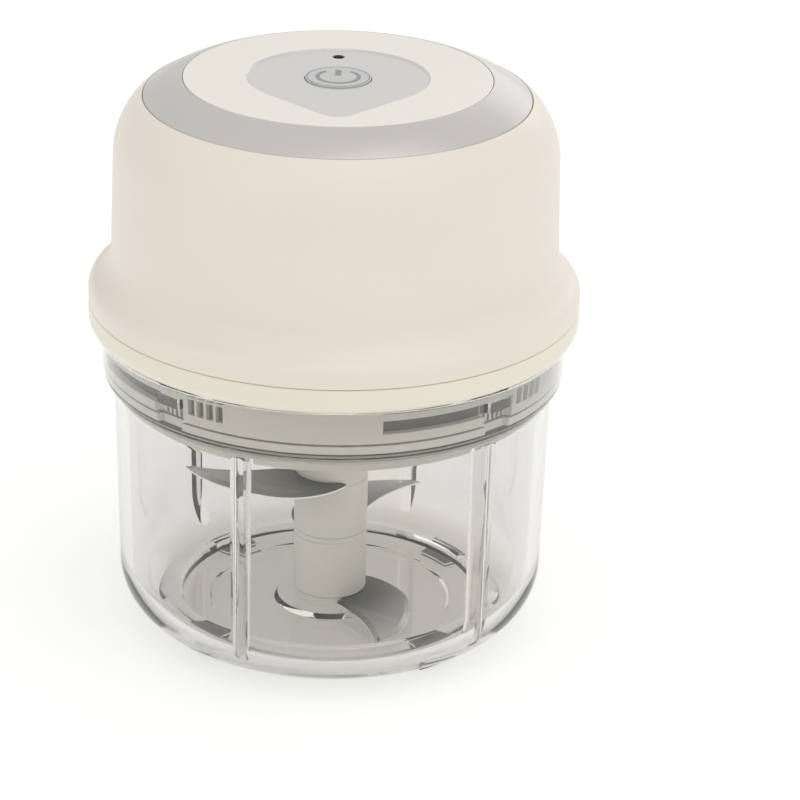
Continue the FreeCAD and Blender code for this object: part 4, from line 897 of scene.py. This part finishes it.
def pickOutline(d):
    # a round dish drawn out to a rounded nose at the front, as straight tangents to two circles
    reach = d["nose"] - d["noseRadius"]
    lean = math.degrees(math.asin((d["radius"] - d["noseRadius"]) / reach))
    back = arc((0, 0), d["radius"], -lean, 180 + lean, 56)
    nose = arc((0, -reach), d["noseRadius"], 180 + lean, 360 - lean, 16)
    return back + nose


def makeBezel(t):
    profile = [(t["bezelSeatInner"], t["bezelBase"]), (t["bezelOuter"], t["bezelBase"])]
    profile += bend((t["bezelOuter"], t["bezelLow"]), (t["bezelInner"], t["top"]), t["bezelArc"], 16)
    profile += [(t["bezelInner"], t["bezelSeat"]), (t["bezelBore"], t["bezelSeat"]),
                (t["bezelBore"], t["bezelUnder"])]
    bezel = lathe("bezelRing", profile, steps=256)
    softEdges(bezel, t["round"], 3, 40)
    finish(bezel, surface["silver"], "head", ["bezel_ring"])


def makePlate(t):
    d, lamp = t["dish"], t["lamp"]
    bore, guide = t["guide"]
    base, edge = t["plateBase"], t["plateRadius"]
    plate = lathe("topPlate", [(bore, t["guideBase"]), (guide, t["guideBase"]), (guide, base), (edge, base),
                               (edge, t["top"]), (bore, t["top"])], steps=192)
    cutter = drawLine("dishCutter", [(x, y, t["top"] + d["rise"]) for x, y in pickOutline(d)], True)
    bpy.ops.mesh.edge_face_add()
    drop = (0, 0, -(d["depth"] + d["rise"]) * mm)
    bpy.ops.mesh.extrude_region_move(TRANSFORM_OT_translate={"value": drop})
    bpy.ops.transform.resize(value=(d["slope"], d["slope"], 1))
    setMode("OBJECT")
    tidyMesh(cutter)
    softEdges(plate, t["round"], 3, 40)
    carve(plate, [cutter])
    carve(plate, [post("lampHole", lamp["hole"], (base - past, t["top"] + past), *lamp["at"])])
    carve(plate, [post("boardPost", t["postRadius"], (t["postBase"], base + into), side * t["postAt"],
                       -t["postAt"]) for side in (-1, 1)], "UNION")
    tidyMesh(plate)
    finish(plate, surface["plate"], "head", ["top_plate"])
    # the dish gets painted shade, a greyer tone than the plate round it
    plate.data.materials.append(surface["dishShadeGrey"])
    for face in plate.data.polygons:
        low = (t["top"] - d["depth"] - 0.05) * mm < face.center.z < (t["top"] - 0.02) * mm
        inside = face.center.xy.length < (d["nose"] + 0.5) * mm and face.normal.z > 0.05
        face.material_index = 1 if low and inside else 0


def makeLampPipe(p):
    low, high = p["heights"]
    flangeLow, flangeHigh = p["flangeHeights"]
    shoulder, tip = p["crown"]
    lamp = lathe("lampPipe", [(0, low), (p["radius"], low), (p["radius"], flangeLow),
                              (p["flange"], flangeLow), (p["flange"], flangeHigh), (p["radius"], flangeHigh),
                              (p["radius"], high - shoulder), (p["tip"], high - tip), (0, high)],
                 closed=False, steps=48)
    only(lamp)
    bpy.ops.transform.translate(value=(p["at"][0] * mm, p["at"][1] * mm, 0))
    bpy.ops.object.transform_apply()
    finish(lamp, surface["lens"], "head", ["lamp_pipe"])


def makeButton(b, m):
    low, high = b["flangeHeights"]
    radius, face = b["radius"], b["top"]
    wide, fine = b["edge"]
    cap = lathe("powerButton", [(0, low), (b["flange"], low), (b["flange"], high), (radius, high),
                                (radius, face - wide), (radius - fine, face - fine), (radius - wide, face),
                                (0, face)], closed=False, steps=128)
    finish(cap, surface["buttonGrey"], "button", ["power_button"])
    under, over = face - m["sink"], face + m["rise"]
    gap = m["gapAngle"]
    ring = arcBlock("powerArc", m["arc"], (under, over), 90 + gap, 360 - 2 * gap, 72)
    bar = slab("powerBar", (-m["barHalf"], m["barHalf"]), m["bar"], (under, over))
    softEdges(bar, m["barRound"], 3, 60)
    rim = lathe("powerRing", oblong(m["ring"], (under, face + m["ringRise"])), steps=128)
    for mark in (ring, bar, rim):
        finish(mark, surface["mark"], "button")


makeBezel(top)
makePlate(top)
makeLampPipe(top["lamp"])
makeButton(top["button"], top["mark"])

flap = {"halfWidth": 6.5, "inner": 37, "outer": 38.2, "heights": (70.4, 78), "corner": 1.0, "round": 0.12,
        "limit": (60, 90), "rollRadius": 0.5, "roll": (37.55, 78), "rollInset": 1}


def makeFlap(f):
    half, outer = f["halfWidth"], f["outer"]
    piece = slab("portCover", (-half, half), (f["inner"], outer + past), f["heights"])
    softEdges(piece, f["corner"], 6, 60)
    carve(piece, [lathe("flapLimit", oblong((0, outer), f["limit"]), closed=False, steps=256)], "INTERSECT")
    deselect()
    y, z = f["roll"]
    bpy.ops.mesh.primitive_cylinder_add(vertices=32, radius=f["rollRadius"] * mm,
                                        depth=2 * (half - f["rollInset"]) * mm, location=(0, y * mm, z * mm),
                                        rotation=(0, math.radians(90), 0))
    roll = bpy.context.object
    bpy.ops.object.transform_apply()
    carve(piece, [roll], "UNION")
    softEdges(piece, f["round"], 2)
    tidyMesh(piece)
    finish(piece, surface["silicone"], "port_cover", ["port_cover"])


makeFlap(flap)
print("head done")


# finishes of the carried-over inner parts
innerFinish = {
    "pin": ["pivot_pin", "planet_pins", "motor_shaft"],
    "zinc": ["casing_screws", "board_screws", "motor_screws"],
    "silicone": ["shaft_seal"],
    "lens": ["status_led"],
    "circuitBoard": ["control_board", "charge_board"],
    "nylon": ["button_switch", "cell_holder_right", "cell_holder_left", "interlock_switch",
              "motor_end_cap"],
    "cellWrap": ["battery_cell_right", "battery_cell_left"],
    "can": ["charge_socket", "motor_plate", "motor_can"],
    "acetal": ["interlock_pin", "sun_gear", "planet_gear_1", "planet_gear_2", "planet_gear_3",
               "ring_gear", "planet_carrier"],
    "bronze": ["motor_bushes"],
    "ferrite": ["motor_magnets"],
    "carbon": ["motor_brushes"],
    "lamination": ["armature_stack"],
    "copper": ["armature_windings", "commutator"],
}
for look, names in innerFinish.items():
    for name in names:
        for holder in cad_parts[name].material_slots:
            holder.material = surface[look]
print("inner finishes set")


# floor, lights and sky
studio = {
    "floor": (0.5, 0.498, 0.485), "floorGlow": 0.57, "floorSize": 6, "floorTone": 0.99,
    "sky": (1.0, 0.998, 0.985), "skyStrength": 0.75, "aim": (0, 0, 0.05),
    "lamps": [
        {"name": "keyLeft", "place": (-0.8, -0.45, 0.5), "size": (0.7, 0.6), "power": 0.5},
        {"name": "topSoft", "place": (0.3, -0.3, 1.0), "size": (0.9, 0.9), "power": 3.1},
        {"name": "backRight", "place": (0.6, 1.3, 0.5), "size": (0.9, 0.6), "power": 1.7},
    ],
}


def makeFloor(s):
    deselect()
    bpy.ops.mesh.primitive_plane_add(size=s["floorSize"], location=(0, 0, 0))
    floor = bpy.context.object
    floor.name = "studioFloor"
    paper, tree, shader, place = startMaterial("studioPaper")
    skin = useGroup(tree, mouldSkin, place, Grain=300)
    darker = tuple(s["floorTone"] * channel for channel in s["floor"])
    tone = blendColours(tree, spread(tree, skin.outputs["Cloud"], 0, 1), s["floor"], darker)
    tree.links.new(tone, shader.inputs["Base Color"])
    glow = (*s["sky"], 1)
    setInputs(shader, {"Roughness": 0.8, "Emission Color": glow, "Emission Strength": s["floorGlow"]})
    floor.data.materials.append(paper)


def makeLamp(spec, aim):
    data = bpy.data.lights.new(spec["name"], "AREA")
    data.shape = "RECTANGLE"
    data.size, data.size_y = spec["size"]
    data.energy = spec["power"]
    lamp = bpy.data.objects.new(spec["name"], data)
    bpy.context.scene.collection.objects.link(lamp)
    turn = (Vector(aim) - Vector(spec["place"])).to_track_quat("-Z", "Y")
    lamp.matrix_world = Matrix.Translation(spec["place"]) @ turn.to_matrix().to_4x4()


def makeSky(s):
    world = bpy.data.worlds.new("studioSky")
    bpy.context.scene.world = world
    world.use_nodes = True
    setInputs(world.node_tree.nodes["Background"], {"Color": (*s["sky"], 1), "Strength": s["skyStrength"]})


makeFloor(studio)
makeSky(studio)
for spec in studio["lamps"]:
    makeLamp(spec, studio["aim"])
bpy.context.scene.view_settings.view_transform = "Standard"
print("studio lit")
